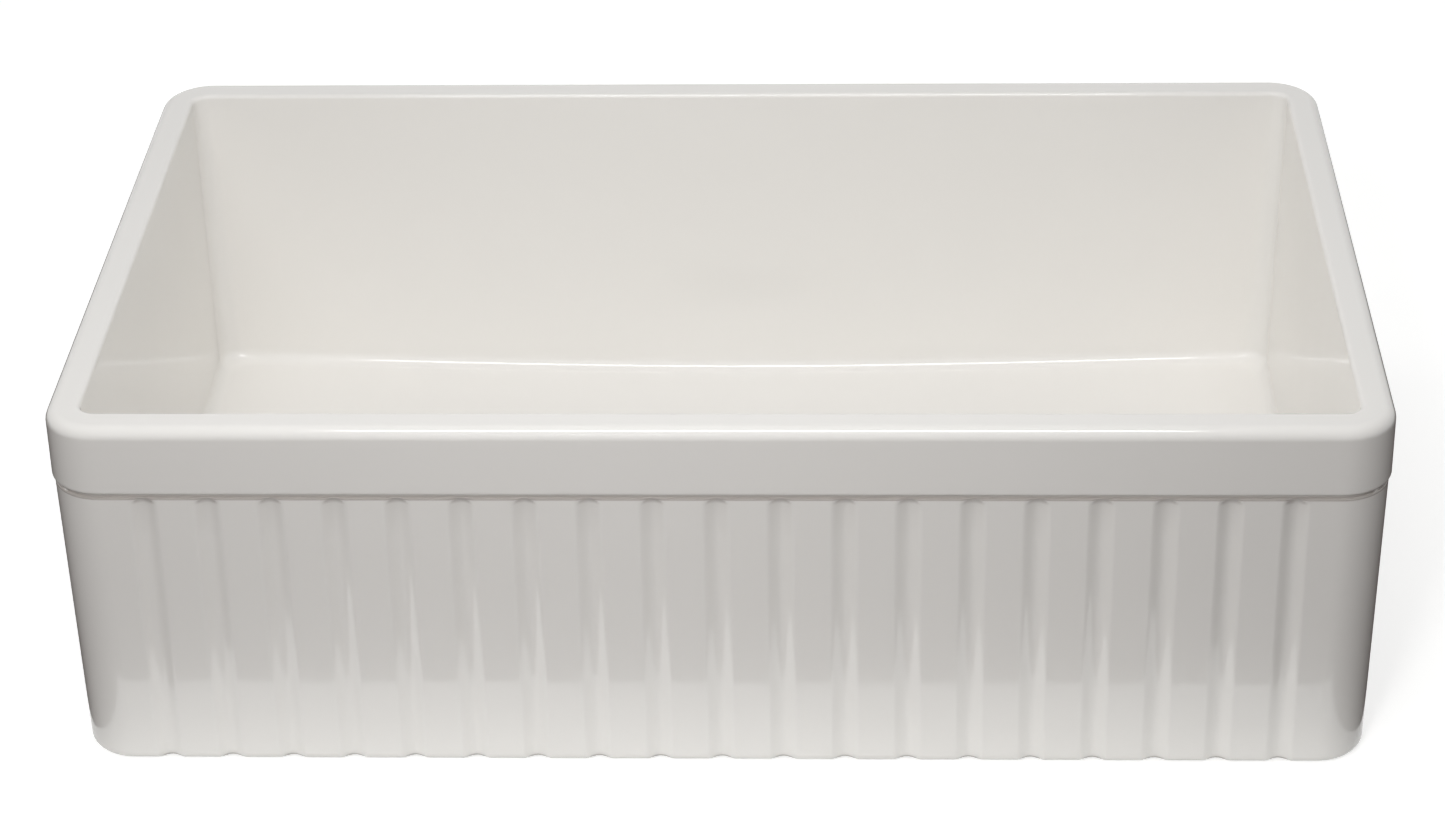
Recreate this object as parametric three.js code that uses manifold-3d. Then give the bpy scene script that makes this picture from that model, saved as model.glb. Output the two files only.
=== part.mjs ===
// A farmhouse apron front kitchen sink: one fireclay casting with a fluted apron, and the basket strainer
// waste in its floor. Millimetres, +Z up, front towards -Y. The origin is the middle of the casting's
// underside, on the axis of the drain.
import * as THREE from "three";
import { mergeVertices } from "three/addons/utils/BufferGeometryUtils.js";
import Module from "manifold-3d";

const wasm = await Module();
wasm.setup();

// ---------------------------------------------------------------- driving dimensions

const GAP = 0.3; // left between two pieces that touch
const OVERSHOOT = 5; // how far a cutting shape runs past what it cuts

// The casting, outside
const WIDTH = 838; // 33 in
const DEPTH = 514; // 20 1/4 in
const HEIGHT = 248; // 9 3/4 in
const CORNER_RADIUS = 34; // upright corners, at the band
const RIM_OUTER_ROUND = 8;
const BAND_HEIGHT = 47;
const BAND_STEP = 1.5; // the band stands this far proud of the apron
const BAND_LOWER_ROUND = 2.5;
const COVE_HEIGHT = 3.5; // the shallow groove under the band
const COVE_DEPTH = 1.2;
const OUTSIDE_DRAFT = THREE.MathUtils.degToRad(1.06); // sides and back, below the band
const BOTTOM_EDGE_ROUND = 6.5;

// The flutes of the apron
const FLUTE_COUNT = 19;
const FLUTE_PITCH = 39.7;
const FLUTE_WIDTH = 18;
const FLUTE_DEPTH = 2.8;
const FLUTE_END_HEIGHT = 4; // over which a flute runs out at its top

// The bowl
const RIM_WIDTH_SIDE = 22;
const RIM_WIDTH_BACK = 24;
const RIM_WIDTH_FRONT = 23;
const RIM_INNER_ROUND = 5;
const BOWL_CORNER_RADIUS = 11; // at the rim
const BOWL_CORNER_GROWTH = 0.03; // added to the corner's radius for each millimetre down
const BOWL_SIDE_DRAFT = THREE.MathUtils.degToRad(1.6);
const BOWL_END_DRAFT = THREE.MathUtils.degToRad(2.6); // front and back walls
const FLOOR_FILLET = 16;
const FLOOR_HEIGHT_AT_DRAIN = 21.5;
const FLOOR_FALL = 0.036; // the floor is a flat cone that falls to the drain

// The drain hole
const DRAIN_HOLE_RADIUS = 44.5; // 89 mm, 3 1/2 in
const FLANGE_RECESS_RADIUS = 59.5;
const FLANGE_RECESS_DEPTH = 3.4;
const UNDERSIDE_RECESS_RADIUS = 75;
const UNDERSIDE_RECESS_DEPTH = 4;

// The strainer body. Depths are below the flange's underside.
const FLANGE_RADIUS = 57; // 114 mm, 4 1/2 in
const FLANGE_THICKNESS = 1.4;
const FLANGE_EDGE_ROUND = 0.6;
const FLANGE_DISH = 0.5; // fall of the flange's top towards the cup
const CUP_MOUTH_ROUND = 6;
const CUP_RADIUS = 40;
const CUP_OUTER_RADIUS = 42.5;
const LEDGE_DEPTH = 10.2; // where the basket's lip rests
const LOWER_CUP_RADIUS = 37.4;
const CONE_TOP_DEPTH = 36.2;
const SEAT_DEPTH = 48.2; // flat seat of the stopper
const SEAT_RADIUS = 30;
const CUP_WALL = 2.4;
const THREAD_DEPTH = 43; // lower end of the large thread
const NECK_BORE_RADIUS = 18.6;
const NECK_RADIUS = 23.4;
const NECK_END_DEPTH = 72.2;
const CROSS_BAR_DEPTH = 59.5; // top of the cross bars in the neck
const CROSS_BAR_WIDTH = 4;
const CROSS_BAR_HEIGHT = 3.5;
const STRAINER_TURN = THREE.MathUtils.degToRad(3.7); // a strainer is never fitted quite square

// The sealing and fastening rings
const RING_INNER_RADIUS = 45.5;
const RING_OUTER_RADIUS = 56;
const SEALANT_THICKNESS = 1.4;
const GASKET_THICKNESS = 3;
const FRICTION_RING_THICKNESS = 1;
const LOCKNUT_BORE_RADIUS = 42.9;
const LOCKNUT_RADIUS = 51;
const LOCKNUT_FLANGE_RADIUS = 55;
const LOCKNUT_FLANGE_THICKNESS = 3;
const LOCKNUT_HEIGHT = 15;
const LOCKNUT_LUGS = 6;
const LOCKNUT_LUG_WIDTH = 12;
const LOCKNUT_LUG_REACH = 57;

// The outlet
const TAILPIECE_RADIUS = 19.05; // 38.1 mm, 1 1/2 in
const TAILPIECE_WALL = 1.2;
const TAILPIECE_LENGTH = 97;
const TAILPIECE_FLANGE_RADIUS = 22.8;
const TAILPIECE_FLANGE_THICKNESS = 1.8;
const TAILPIECE_WASHER_THICKNESS = 2;
const SLIP_NUT_BORE_RADIUS = 23.8;
const SLIP_NUT_RADIUS = 28;
const SLIP_NUT_COVER = 10; // how far the nut reaches up the neck
const SLIP_NUT_LIP = 3.6;
const SLIP_NUT_LUGS = 8;
const SLIP_NUT_LUG_WIDTH = 6;
const SLIP_NUT_LUG_REACH = 30.5;

// The basket. Heights are from the ledge that its lip rests on.
const SHEET = 1.2;
const BASKET_LIP_RADIUS = 39.3;
const BASKET_LIP_THICKNESS = 1.5;
const BASKET_TOP_RADIUS = 36.8;
const BASKET_BOTTOM_RADIUS = 33.5;
const BASKET_DEPTH = 22.2;
const BASKET_CORNER_ROUND = 3;
const HUB_RADIUS = 7;
const HUB_BORE_RADIUS = 4.9;
const HUB_TOP_DEPTH = 11; // below the ledge
const WALL_SLOTS = 18;
const WALL_SLOT_WIDTH = 3.2;
const WALL_SLOT_HEIGHT = 10;
const WALL_SLOT_MIDDLE = 9.5; // below the ledge
const FLOOR_SLOTS = 12;
const FLOOR_SLOT_WIDTH = 3.2;
const FLOOR_SLOT_INNER = 12;
const FLOOR_SLOT_OUTER = 27;

// The post, its knob and the stopper
const BUSH_RADIUS = 4.6;
const BUSH_BORE_RADIUS = 3.85;
const BUSH_HEIGHT = 9;
const POST_RADIUS = 3.5;
const POST_STUD_RADIUS = 2.5; // lower end, through the stopper
const STUD_CLEARANCE = 0.3;
const STOPPER_RADIUS = 24;
const STOPPER_THICKNESS = 4;
const STOPPER_EDGE_ROUND = 1.5;
const STOPPER_WASHER_RADIUS = 20;
const STOPPER_WASHER_THICKNESS = 1.2;
const STOPPER_NUT_RADIUS = 6.9; // across the corners, half
const STOPPER_NUT_HEIGHT = 5;
const STUD_END = 2; // stud below the nut
const POST_LENGTH = 31; // above the stopper's washer
const KNOB_RADIUS = 11;
const KNOB_NECK_RADIUS = 6;
const KNOB_HEIGHT = 13;
const KNOB_NECK_HEIGHT = 4;
const KNOB_CROWN = 3; // height of the domed top
const KNOB_SOCKET_DEPTH = 8;

// How finely round shapes are divided
const CORNER_STEPS = 8; // each upright corner
const ROUND_STEPS = 4; // each edge round in section
const FILLET_STEPS = 6;
const FLUTE_STEPS = 7; // across one flute
const LARGE_TURN_STEPS = 40;
const SMALL_TURN_STEPS = 32;
const HEXAGON = 6;
const FRONT_LEFT_CORNER = 2; // place of this corner in a ring that starts at the back right

const QUARTER = Math.PI / 2;

// ---------------------------------------------------------------- heights that follow

const bandBottom = HEIGHT - BAND_HEIGHT;
const landTop = bandBottom - COVE_HEIGHT;
const recessFloor = floorHeight(FLANGE_RECESS_RADIUS, 0) - FLANGE_RECESS_DEPTH;
const sealantBottom = recessFloor + GAP;
const flangeUnderside = sealantBottom + SEALANT_THICKNESS + GAP;
const gasketTop = UNDERSIDE_RECESS_DEPTH - GAP;
const frictionRingTop = gasketTop - GASKET_THICKNESS - GAP;
const locknutTop = frictionRingTop - FRICTION_RING_THICKNESS - GAP;
const ledge = flangeUnderside - LEDGE_DEPTH + GAP;
const seat = flangeUnderside - SEAT_DEPTH + GAP;
const stopperTop = seat + STOPPER_THICKNESS;
const stopperWasherBottom = stopperTop + GAP;
const postShoulder = stopperWasherBottom + STOPPER_WASHER_THICKNESS + GAP;
const neckEnd = flangeUnderside - NECK_END_DEPTH;
const outletWasherTop = neckEnd - GAP;
const tailpieceTop = outletWasherTop - TAILPIECE_WASHER_THICKNESS - GAP;

// ---------------------------------------------------------------- helpers

/** Height of the bowl's floor above the underside, a cone about the drain's axis. */
function floorHeight(x, y) {
  return FLOOR_HEIGHT_AT_DRAIN + FLOOR_FALL * Math.hypot(x, y);
}

/** Evenly spaced angles of a quarter turn, both ends included. */
function quarterAngles(steps) {
  return Array.from({ length: steps + 1 }, (_, i) => (QUARTER * i) / steps);
}

/** The geometry as a closed solid that can be joined and cut. */
function solidOf(geometry) {
  const bare = geometry.clone();
  bare.deleteAttribute("normal");
  bare.deleteAttribute("uv");
  const merged = mergeVertices(bare);
  return new wasm.Manifold(
    new wasm.Mesh({
      numProp: 3,
      vertProperties: merged.getAttribute("position").array,
      triVerts: merged.getIndex().array,
    }),
  );
}

/** A joined or cut solid as a geometry again. */
function geometryOf(solid) {
  const mesh = solid.getMesh();
  const geometry = new THREE.BufferGeometry();
  geometry.setAttribute("position", new THREE.BufferAttribute(mesh.vertProperties, 3));
  geometry.setIndex(new THREE.BufferAttribute(mesh.triVerts, 1));
  geometry.computeVertexNormals();
  return geometry;
}

/** A profile of [radius, height] points turned about the Z axis. It may be given in either direction. */
function turned(profile, steps) {
  const points = profile.map(([radius, height]) => new THREE.Vector2(radius, height));
  const onAxis = profile[0][0] === 0 && profile.at(-1)[0] === 0;
  if (THREE.ShapeUtils.isClockWise(points)) points.reverse();
  if (!onAxis) points.push(points[0].clone());
  return new THREE.LatheGeometry(points, steps).rotateX(QUARTER);
}

/** A flat ring with its lower face at height 0. */
function flatRing(inner, outer, thickness, steps) {
  const profile = [
    [inner, 0],
    [outer, 0],
    [outer, thickness],
    [inner, thickness],
  ];
  return turned(profile, steps);
}

/** A solid cylinder between two heights, for cutting. */
function cylinder(radius, bottom, top, steps) {
  const geometry = new THREE.CylinderGeometry(radius, radius, top - bottom, steps);
  return geometry.rotateX(QUARTER).translate(0, 0, (top + bottom) / 2);
}

/** Points of [radius, height] on an arc, from one angle to another. */
function arc(centreRadius, centreHeight, radius, from, to, steps) {
  return Array.from({ length: steps + 1 }, (_, i) => {
    const angle = from + ((to - from) * i) / steps;
    return [centreRadius + radius * Math.cos(angle), centreHeight + radius * Math.sin(angle)];
  });
}

/** Copies of a geometry, evenly spaced round the Z axis, as solids. */
function roundTheAxis(geometry, count) {
  return Array.from({ length: count }, (_, i) => {
    const turn = (2 * Math.PI * (i + 0.5)) / count;
    return solidOf(geometry.clone().rotateZ(turn));
  });
}

/**
 * Points round a rounded rectangle, anticlockwise from above. heightAt gives each point's height, and
 * alongFront holds more points of the front edge, from left to right.
 */
function rectangleRing({ halfWidth, front, back, radius }, heightAt, alongFront = []) {
  const corners = [
    [halfWidth - radius, back - radius],
    [radius - halfWidth, back - radius],
    [radius - halfWidth, front + radius],
    [halfWidth - radius, front + radius],
  ];
  return corners.flatMap(([cornerX, cornerY], index) => {
    const turn = quarterAngles(CORNER_STEPS).map((angle) => {
      const x = cornerX + radius * Math.cos(angle + index * QUARTER);
      const y = cornerY + radius * Math.sin(angle + index * QUARTER);
      return new THREE.Vector3(x, y, heightAt(x, y));
    });
    return index === FRONT_LEFT_CORNER ? [...turn, ...alongFront] : turn;
  });
}

/** A closed skin over rings of equal length, listed upwards, with a point of its own closing each end. */
function loft(rings, bottomPoint, topPoint) {
  const count = rings[0].length;
  const points = [...rings.flat(), bottomPoint, topPoint];
  const bottom = points.length - 2;
  const top = points.length - 1;
  const lastRing = (rings.length - 1) * count;
  const triangles = [];
  for (let i = 0; i < count; i += 1) {
    const next = (i + 1) % count;
    triangles.push(bottom, next, i);
    triangles.push(top, lastRing + i, lastRing + next);
    for (let low = 0; low < lastRing; low += count) {
      const high = low + count;
      triangles.push(low + i, low + next, high + next);
      triangles.push(low + i, high + next, high + i);
    }
  }
  const geometry = new THREE.BufferGeometry().setFromPoints(points);
  geometry.setIndex(triangles);
  return geometry;
}

/** A named mesh at a height on the Z axis. */
function piece(name, geometry, material, height = 0) {
  const mesh = new THREE.Mesh(geometry, material);
  mesh.name = name;
  mesh.position.z = height;
  return mesh;
}

// ---------------------------------------------------------------- materials

function glazeMaterial() {
  return new THREE.MeshStandardMaterial({ color: 0xe4e2dc, roughness: 0.08, metalness: 0 });
}

function steelMaterial() {
  return new THREE.MeshStandardMaterial({ color: 0xc3c5c6, roughness: 0.28, metalness: 1 });
}

function chromeMaterial() {
  return new THREE.MeshStandardMaterial({ color: 0xdadcdd, roughness: 0.08, metalness: 1 });
}

function zincMaterial() {
  return new THREE.MeshStandardMaterial({ color: 0x9fa1a0, roughness: 0.5, metalness: 1 });
}

function brassMaterial() {
  return new THREE.MeshStandardMaterial({ color: 0xc9a659, roughness: 0.35, metalness: 1 });
}

function rubberMaterial() {
  return new THREE.MeshStandardMaterial({ color: 0x1c1c1c, roughness: 0.75, metalness: 0 });
}

function sealantMaterial() {
  return new THREE.MeshStandardMaterial({ color: 0xd9d6cc, roughness: 0.6, metalness: 0 });
}

function fibreMaterial() {
  return new THREE.MeshStandardMaterial({ color: 0x8a6a48, roughness: 0.9, metalness: 0 });
}

function nylonMaterial() {
  return new THREE.MeshStandardMaterial({ color: 0xe9e7df, roughness: 0.5, metalness: 0 });
}

// ---------------------------------------------------------------- the casting

/** Plan of the outside at a height. inset is measured in from the band's face. */
function outsidePlan(height, inset) {
  const drafted = inset + Math.max(0, bandBottom - height) * Math.tan(OUTSIDE_DRAFT);
  return {
    halfWidth: WIDTH / 2 - drafted,
    front: inset - DEPTH / 2,
    back: DEPTH / 2 - drafted,
    radius: CORNER_RADIUS - inset,
  };
}

/**
 * Points across the flutes at one height, from left to right. The depth of a flute follows the cube of a
 * sine, so each side leaves the flat land between two flutes with a soft lip.
 */
function flutedFront(front, depth, height) {
  return Array.from({ length: FLUTE_COUNT }, (_, flute) => {
    const middle = (flute - (FLUTE_COUNT - 1) / 2) * FLUTE_PITCH;
    return Array.from({ length: FLUTE_STEPS + 1 }, (_, i) => {
      const angle = (Math.PI * i) / FLUTE_STEPS;
      const x = middle - (FLUTE_WIDTH / 2) * Math.cos(angle);
      return new THREE.Vector3(x, front + depth * Math.sin(angle) ** 3, height);
    });
  }).flat();
}

/** The outside below the band: rings of [height, inset, flute depth] for the edge, the lands and the cove. */
function apronSolid() {
  const bottomEdge = quarterAngles(ROUND_STEPS).map((angle) => [
    BOTTOM_EDGE_ROUND * (1 - Math.cos(angle)),
    BAND_STEP + BOTTOM_EDGE_ROUND * (1 - Math.sin(angle)),
    FLUTE_DEPTH,
  ]);
  const section = [
    ...bottomEdge,
    [landTop - FLUTE_END_HEIGHT, BAND_STEP, FLUTE_DEPTH],
    [landTop, BAND_STEP, COVE_DEPTH],
    [landTop + COVE_DEPTH, BAND_STEP + COVE_DEPTH, 0],
    [bandBottom + OVERSHOOT, BAND_STEP + COVE_DEPTH, 0],
  ];
  const rings = section.map(([height, inset, fluteDepth]) => {
    const plan = outsidePlan(height, inset);
    return rectangleRing(plan, () => height, flutedFront(plan.front, fluteDepth, height));
  });
  return solidOf(loft(rings, new THREE.Vector3(0, 0, 0), new THREE.Vector3(0, 0, bandBottom + OVERSHOOT)));
}

/** The plain band with its rounded lower edge and the outer round of the rim. */
function bandSolid() {
  const angles = quarterAngles(ROUND_STEPS);
  const lowerEdge = angles.map((angle) => [
    bandBottom + BAND_LOWER_ROUND * (1 - Math.cos(angle)),
    BAND_LOWER_ROUND * (1 - Math.sin(angle)),
  ]);
  const rimEdge = angles.map((angle) => [
    HEIGHT - RIM_OUTER_ROUND * (1 - Math.sin(angle)),
    RIM_OUTER_ROUND * (1 - Math.cos(angle)),
  ]);
  const rings = [...lowerEdge, ...rimEdge].map(([height, inset]) =>
    rectangleRing(outsidePlan(height, inset), () => height),
  );
  return solidOf(loft(rings, new THREE.Vector3(0, 0, bandBottom), new THREE.Vector3(0, 0, HEIGHT)));
}

/** Plan of the bowl at a height. inset is measured in from the bowl's drafted wall. */
function bowlPlan(height, inset) {
  const depth = HEIGHT - height;
  const side = RIM_WIDTH_SIDE + depth * Math.tan(BOWL_SIDE_DRAFT) + inset;
  const end = depth * Math.tan(BOWL_END_DRAFT) + inset;
  return {
    halfWidth: WIDTH / 2 - side,
    front: RIM_WIDTH_FRONT + end - DEPTH / 2,
    back: DEPTH / 2 - RIM_WIDTH_BACK - end,
    radius: BOWL_CORNER_RADIUS + depth * BOWL_CORNER_GROWTH - Math.min(0, inset),
  };
}

/** The space of the bowl: fillet over the sloping floor, drafted walls, and the round of the rim. */
function bowlSolid() {
  const floorAtWall = floorHeight(0, DEPTH / 2);
  const fillet = quarterAngles(FILLET_STEPS).map((angle) => {
    const rise = FLOOR_FILLET * (1 - Math.cos(angle));
    const inset = FLOOR_FILLET * (1 - Math.sin(angle));
    return rectangleRing(bowlPlan(floorAtWall + rise, inset), (x, y) => floorHeight(x, y) + rise);
  });
  const rim = quarterAngles(ROUND_STEPS).map((angle) => {
    const height = HEIGHT - RIM_INNER_ROUND * (1 - Math.sin(angle));
    const inset = -RIM_INNER_ROUND * (1 - Math.cos(angle));
    return rectangleRing(bowlPlan(height, inset), () => height);
  });
  const above = rectangleRing(bowlPlan(HEIGHT, -RIM_INNER_ROUND), () => HEIGHT + OVERSHOOT);
  const lowest = new THREE.Vector3(0, 0, FLOOR_HEIGHT_AT_DRAIN);
  return solidOf(loft([...fillet, ...rim, above], lowest, new THREE.Vector3(0, 0, HEIGHT + OVERSHOOT)));
}

/** The drain hole, the recess for the flange and the recess in the underside. */
function drainSolids() {
  const above = FLOOR_HEIGHT_AT_DRAIN + 2 * OVERSHOOT;
  return [
    cylinder(DRAIN_HOLE_RADIUS, -OVERSHOOT, above, LARGE_TURN_STEPS),
    cylinder(FLANGE_RECESS_RADIUS, recessFloor, above, LARGE_TURN_STEPS),
    cylinder(UNDERSIDE_RECESS_RADIUS, -OVERSHOOT, UNDERSIDE_RECESS_DEPTH, LARGE_TURN_STEPS),
  ].map(solidOf);
}

function fireclayBasin() {
  const hollows = [bowlSolid(), ...drainSolids()];
  const outside = apronSolid().add(bandSolid());
  const casting = hollows.reduce((rest, hollow) => rest.subtract(hollow), outside);
  return piece("fireclay_basin", geometryOf(casting), glazeMaterial());
}

// ---------------------------------------------------------------- the strainer body and its fastenings

/** The cup's outline, inside then outside. Height 0 is the flange's underside. */
function strainerProfile() {
  const mouthTop = FLANGE_THICKNESS - FLANGE_DISH;
  const edge = FLANGE_THICKNESS - FLANGE_EDGE_ROUND;
  return [
    [CUP_OUTER_RADIUS, 0],
    [FLANGE_RADIUS, 0],
    [FLANGE_RADIUS, edge],
    [FLANGE_RADIUS - FLANGE_EDGE_ROUND, FLANGE_THICKNESS],
    ...arc(
      CUP_RADIUS + CUP_MOUTH_ROUND,
      mouthTop - CUP_MOUTH_ROUND,
      CUP_MOUTH_ROUND,
      QUARTER,
      2 * QUARTER,
      ROUND_STEPS,
    ),
    [CUP_RADIUS, -LEDGE_DEPTH],
    [LOWER_CUP_RADIUS, -LEDGE_DEPTH],
    [LOWER_CUP_RADIUS, -CONE_TOP_DEPTH],
    [SEAT_RADIUS, -SEAT_DEPTH],
    [NECK_BORE_RADIUS, -SEAT_DEPTH],
    [NECK_BORE_RADIUS, -NECK_END_DEPTH],
    [NECK_RADIUS, -NECK_END_DEPTH],
    [NECK_RADIUS, -SEAT_DEPTH - CUP_WALL],
    [SEAT_RADIUS + CUP_WALL, -SEAT_DEPTH - CUP_WALL],
    [CUP_OUTER_RADIUS, -THREAD_DEPTH],
  ];
}

/** One of the two crossed bars in the neck, which stop cutlery from falling through. */
function crossBar() {
  const length = NECK_BORE_RADIUS + NECK_RADIUS;
  const bar = new THREE.BoxGeometry(length, CROSS_BAR_WIDTH, CROSS_BAR_HEIGHT);
  return bar.translate(0, 0, -CROSS_BAR_DEPTH - CROSS_BAR_HEIGHT / 2);
}

function strainerBody() {
  const cup = solidOf(turned(strainerProfile(), LARGE_TURN_STEPS));
  const bars = [solidOf(crossBar()), solidOf(crossBar().rotateZ(QUARTER))];
  const body = bars.reduce((whole, bar) => whole.add(bar), cup);
  const mesh = piece("strainer_body", geometryOf(body), steelMaterial(), flangeUnderside);
  mesh.rotation.z = STRAINER_TURN;
  return mesh;
}

function drainSealantRing() {
  const ring = flatRing(RING_INNER_RADIUS, RING_OUTER_RADIUS, SEALANT_THICKNESS, LARGE_TURN_STEPS);
  return piece("drain_sealant_ring", ring, sealantMaterial(), sealantBottom);
}

function sinkGasket() {
  const ring = flatRing(RING_INNER_RADIUS, RING_OUTER_RADIUS, GASKET_THICKNESS, LARGE_TURN_STEPS);
  return piece("sink_gasket", ring, rubberMaterial(), gasketTop - GASKET_THICKNESS);
}

function frictionRing() {
  const ring = flatRing(RING_INNER_RADIUS, RING_OUTER_RADIUS, FRICTION_RING_THICKNESS, LARGE_TURN_STEPS);
  return piece("friction_ring", ring, fibreMaterial(), frictionRingTop - FRICTION_RING_THICKNESS);
}

/** A nut's ring with lugs round it for a wrench. The profile's height 0 is the nut's top. */
function luggedNut(profile, { lugs, lugWidth, reach, start, bottom }) {
  const inside = profile[0][0];
  const length = reach - inside;
  const lug = new THREE.BoxGeometry(length / 2, lugWidth, start - bottom);
  lug.translate(reach - length / 4, 0, (start + bottom) / 2);
  const ring = solidOf(turned(profile, LARGE_TURN_STEPS));
  return geometryOf(roundTheAxis(lug, lugs).reduce((whole, one) => whole.add(one), ring));
}

function locknut() {
  const profile = [
    [LOCKNUT_BORE_RADIUS, 0],
    [LOCKNUT_FLANGE_RADIUS, 0],
    [LOCKNUT_FLANGE_RADIUS, -LOCKNUT_FLANGE_THICKNESS],
    [LOCKNUT_RADIUS, -LOCKNUT_FLANGE_THICKNESS],
    [LOCKNUT_RADIUS, -LOCKNUT_HEIGHT],
    [LOCKNUT_BORE_RADIUS, -LOCKNUT_HEIGHT],
  ];
  const nut = luggedNut(profile, {
    lugs: LOCKNUT_LUGS,
    lugWidth: LOCKNUT_LUG_WIDTH,
    reach: LOCKNUT_LUG_REACH,
    start: -LOCKNUT_FLANGE_THICKNESS / 2,
    bottom: GAP - LOCKNUT_HEIGHT,
  });
  return piece("locknut", nut, zincMaterial(), locknutTop);
}

function tailpieceWasher() {
  const ring = flatRing(NECK_BORE_RADIUS, NECK_RADIUS, TAILPIECE_WASHER_THICKNESS, SMALL_TURN_STEPS);
  const bottom = outletWasherTop - TAILPIECE_WASHER_THICKNESS;
  return piece("tailpiece_washer", ring, nylonMaterial(), bottom);
}

function tailpiece() {
  const bore = TAILPIECE_RADIUS - TAILPIECE_WALL;
  const profile = [
    [bore, 0],
    [TAILPIECE_FLANGE_RADIUS, 0],
    [TAILPIECE_FLANGE_RADIUS, -TAILPIECE_FLANGE_THICKNESS],
    [TAILPIECE_RADIUS, -TAILPIECE_FLANGE_THICKNESS],
    [TAILPIECE_RADIUS, -TAILPIECE_LENGTH],
    [bore, -TAILPIECE_LENGTH],
  ];
  return piece("tailpiece", turned(profile, SMALL_TURN_STEPS), brassMaterial(), tailpieceTop);
}

function slipNut() {
  const lipTop = tailpieceTop - TAILPIECE_FLANGE_THICKNESS - GAP;
  const top = neckEnd + SLIP_NUT_COVER;
  const bottom = lipTop - SLIP_NUT_LIP - top;
  const tubeHole = TAILPIECE_RADIUS + GAP;
  const profile = [
    [SLIP_NUT_BORE_RADIUS, 0],
    [SLIP_NUT_RADIUS, 0],
    [SLIP_NUT_RADIUS, bottom],
    [tubeHole, bottom],
    [tubeHole, lipTop - top],
    [SLIP_NUT_BORE_RADIUS, lipTop - top],
  ];
  const nut = luggedNut(profile, {
    lugs: SLIP_NUT_LUGS,
    lugWidth: SLIP_NUT_LUG_WIDTH,
    reach: SLIP_NUT_LUG_REACH,
    start: -GAP,
    bottom: bottom + GAP,
  });
  return piece("slip_nut", nut, zincMaterial(), top);
}

// ---------------------------------------------------------------- the basket

/** The basket's outline: lip, wall, floor and hub. Height 0 is the lip's underside. */
function basketProfile() {
  const innerBottom = BASKET_BOTTOM_RADIUS - SHEET;
  const roundTop = BASKET_CORNER_ROUND - BASKET_DEPTH;
  return [
    [HUB_BORE_RADIUS, -BASKET_DEPTH],
    ...arc(
      BASKET_BOTTOM_RADIUS - BASKET_CORNER_ROUND,
      roundTop,
      BASKET_CORNER_ROUND,
      -QUARTER,
      0,
      ROUND_STEPS,
    ),
    [BASKET_TOP_RADIUS, 0],
    [BASKET_LIP_RADIUS, 0],
    [BASKET_LIP_RADIUS, BASKET_LIP_THICKNESS],
    [BASKET_TOP_RADIUS - SHEET, BASKET_LIP_THICKNESS],
    [innerBottom, roundTop],
    [innerBottom - BASKET_CORNER_ROUND + SHEET, SHEET - BASKET_DEPTH],
    [HUB_RADIUS, SHEET - BASKET_DEPTH],
    [HUB_RADIUS, -HUB_TOP_DEPTH],
    [HUB_BORE_RADIUS, -HUB_TOP_DEPTH],
  ];
}

function basket() {
  const wallCut = new THREE.BoxGeometry(2 * OVERSHOOT, WALL_SLOT_WIDTH, WALL_SLOT_HEIGHT);
  wallCut.translate(BASKET_BOTTOM_RADIUS, 0, -WALL_SLOT_MIDDLE);
  const floorLength = FLOOR_SLOT_OUTER - FLOOR_SLOT_INNER;
  const floorCut = new THREE.BoxGeometry(floorLength, FLOOR_SLOT_WIDTH, OVERSHOOT);
  floorCut.translate((FLOOR_SLOT_OUTER + FLOOR_SLOT_INNER) / 2, 0, -BASKET_DEPTH);
  const cuts = [...roundTheAxis(wallCut, WALL_SLOTS), ...roundTheAxis(floorCut, FLOOR_SLOTS)];
  const sheet = solidOf(turned(basketProfile(), 2 * WALL_SLOTS));
  const shell = cuts.reduce((rest, cut) => rest.subtract(cut), sheet);
  return piece("basket", geometryOf(shell), steelMaterial(), ledge);
}

function postBush() {
  const ring = flatRing(BUSH_BORE_RADIUS, BUSH_RADIUS, BUSH_HEIGHT, SMALL_TURN_STEPS);
  return piece("post_bush", ring, nylonMaterial(), ledge - HUB_TOP_DEPTH - BUSH_HEIGHT - GAP);
}

// ---------------------------------------------------------------- the post, its knob and the stopper

/** The post. Height 0 is its shoulder on the stopper's washer. */
function centrePost() {
  const studLength = postShoulder - seat + GAP + STOPPER_NUT_HEIGHT + STUD_END;
  const profile = [
    [0, -studLength],
    [POST_STUD_RADIUS, -studLength],
    [POST_STUD_RADIUS, 0],
    [POST_RADIUS, 0],
    [POST_RADIUS, POST_LENGTH],
    [0, POST_LENGTH],
  ];
  return piece("centre_post", turned(profile, SMALL_TURN_STEPS), steelMaterial(), postShoulder);
}

function liftKnob() {
  const socket = POST_RADIUS + GAP;
  const shoulder = KNOB_HEIGHT - KNOB_CROWN;
  const profile = [
    [0, KNOB_SOCKET_DEPTH],
    [socket, KNOB_SOCKET_DEPTH],
    [socket, 0],
    [KNOB_NECK_RADIUS, 0],
    [KNOB_NECK_RADIUS, KNOB_NECK_HEIGHT],
    [KNOB_RADIUS, KNOB_NECK_HEIGHT + GAP],
    [KNOB_RADIUS, shoulder],
    [KNOB_RADIUS - KNOB_CROWN, shoulder + KNOB_CROWN * Math.sin(QUARTER / 2)],
    [0, KNOB_HEIGHT],
  ];
  const bottom = postShoulder + POST_LENGTH + GAP - KNOB_SOCKET_DEPTH;
  return piece("lift_knob", turned(profile, SMALL_TURN_STEPS), chromeMaterial(), bottom);
}

function stopperWasher() {
  const hole = POST_STUD_RADIUS + STUD_CLEARANCE;
  const ring = flatRing(hole, STOPPER_WASHER_RADIUS, STOPPER_WASHER_THICKNESS, SMALL_TURN_STEPS);
  return piece("stopper_washer", ring, steelMaterial(), stopperWasherBottom);
}

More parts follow.
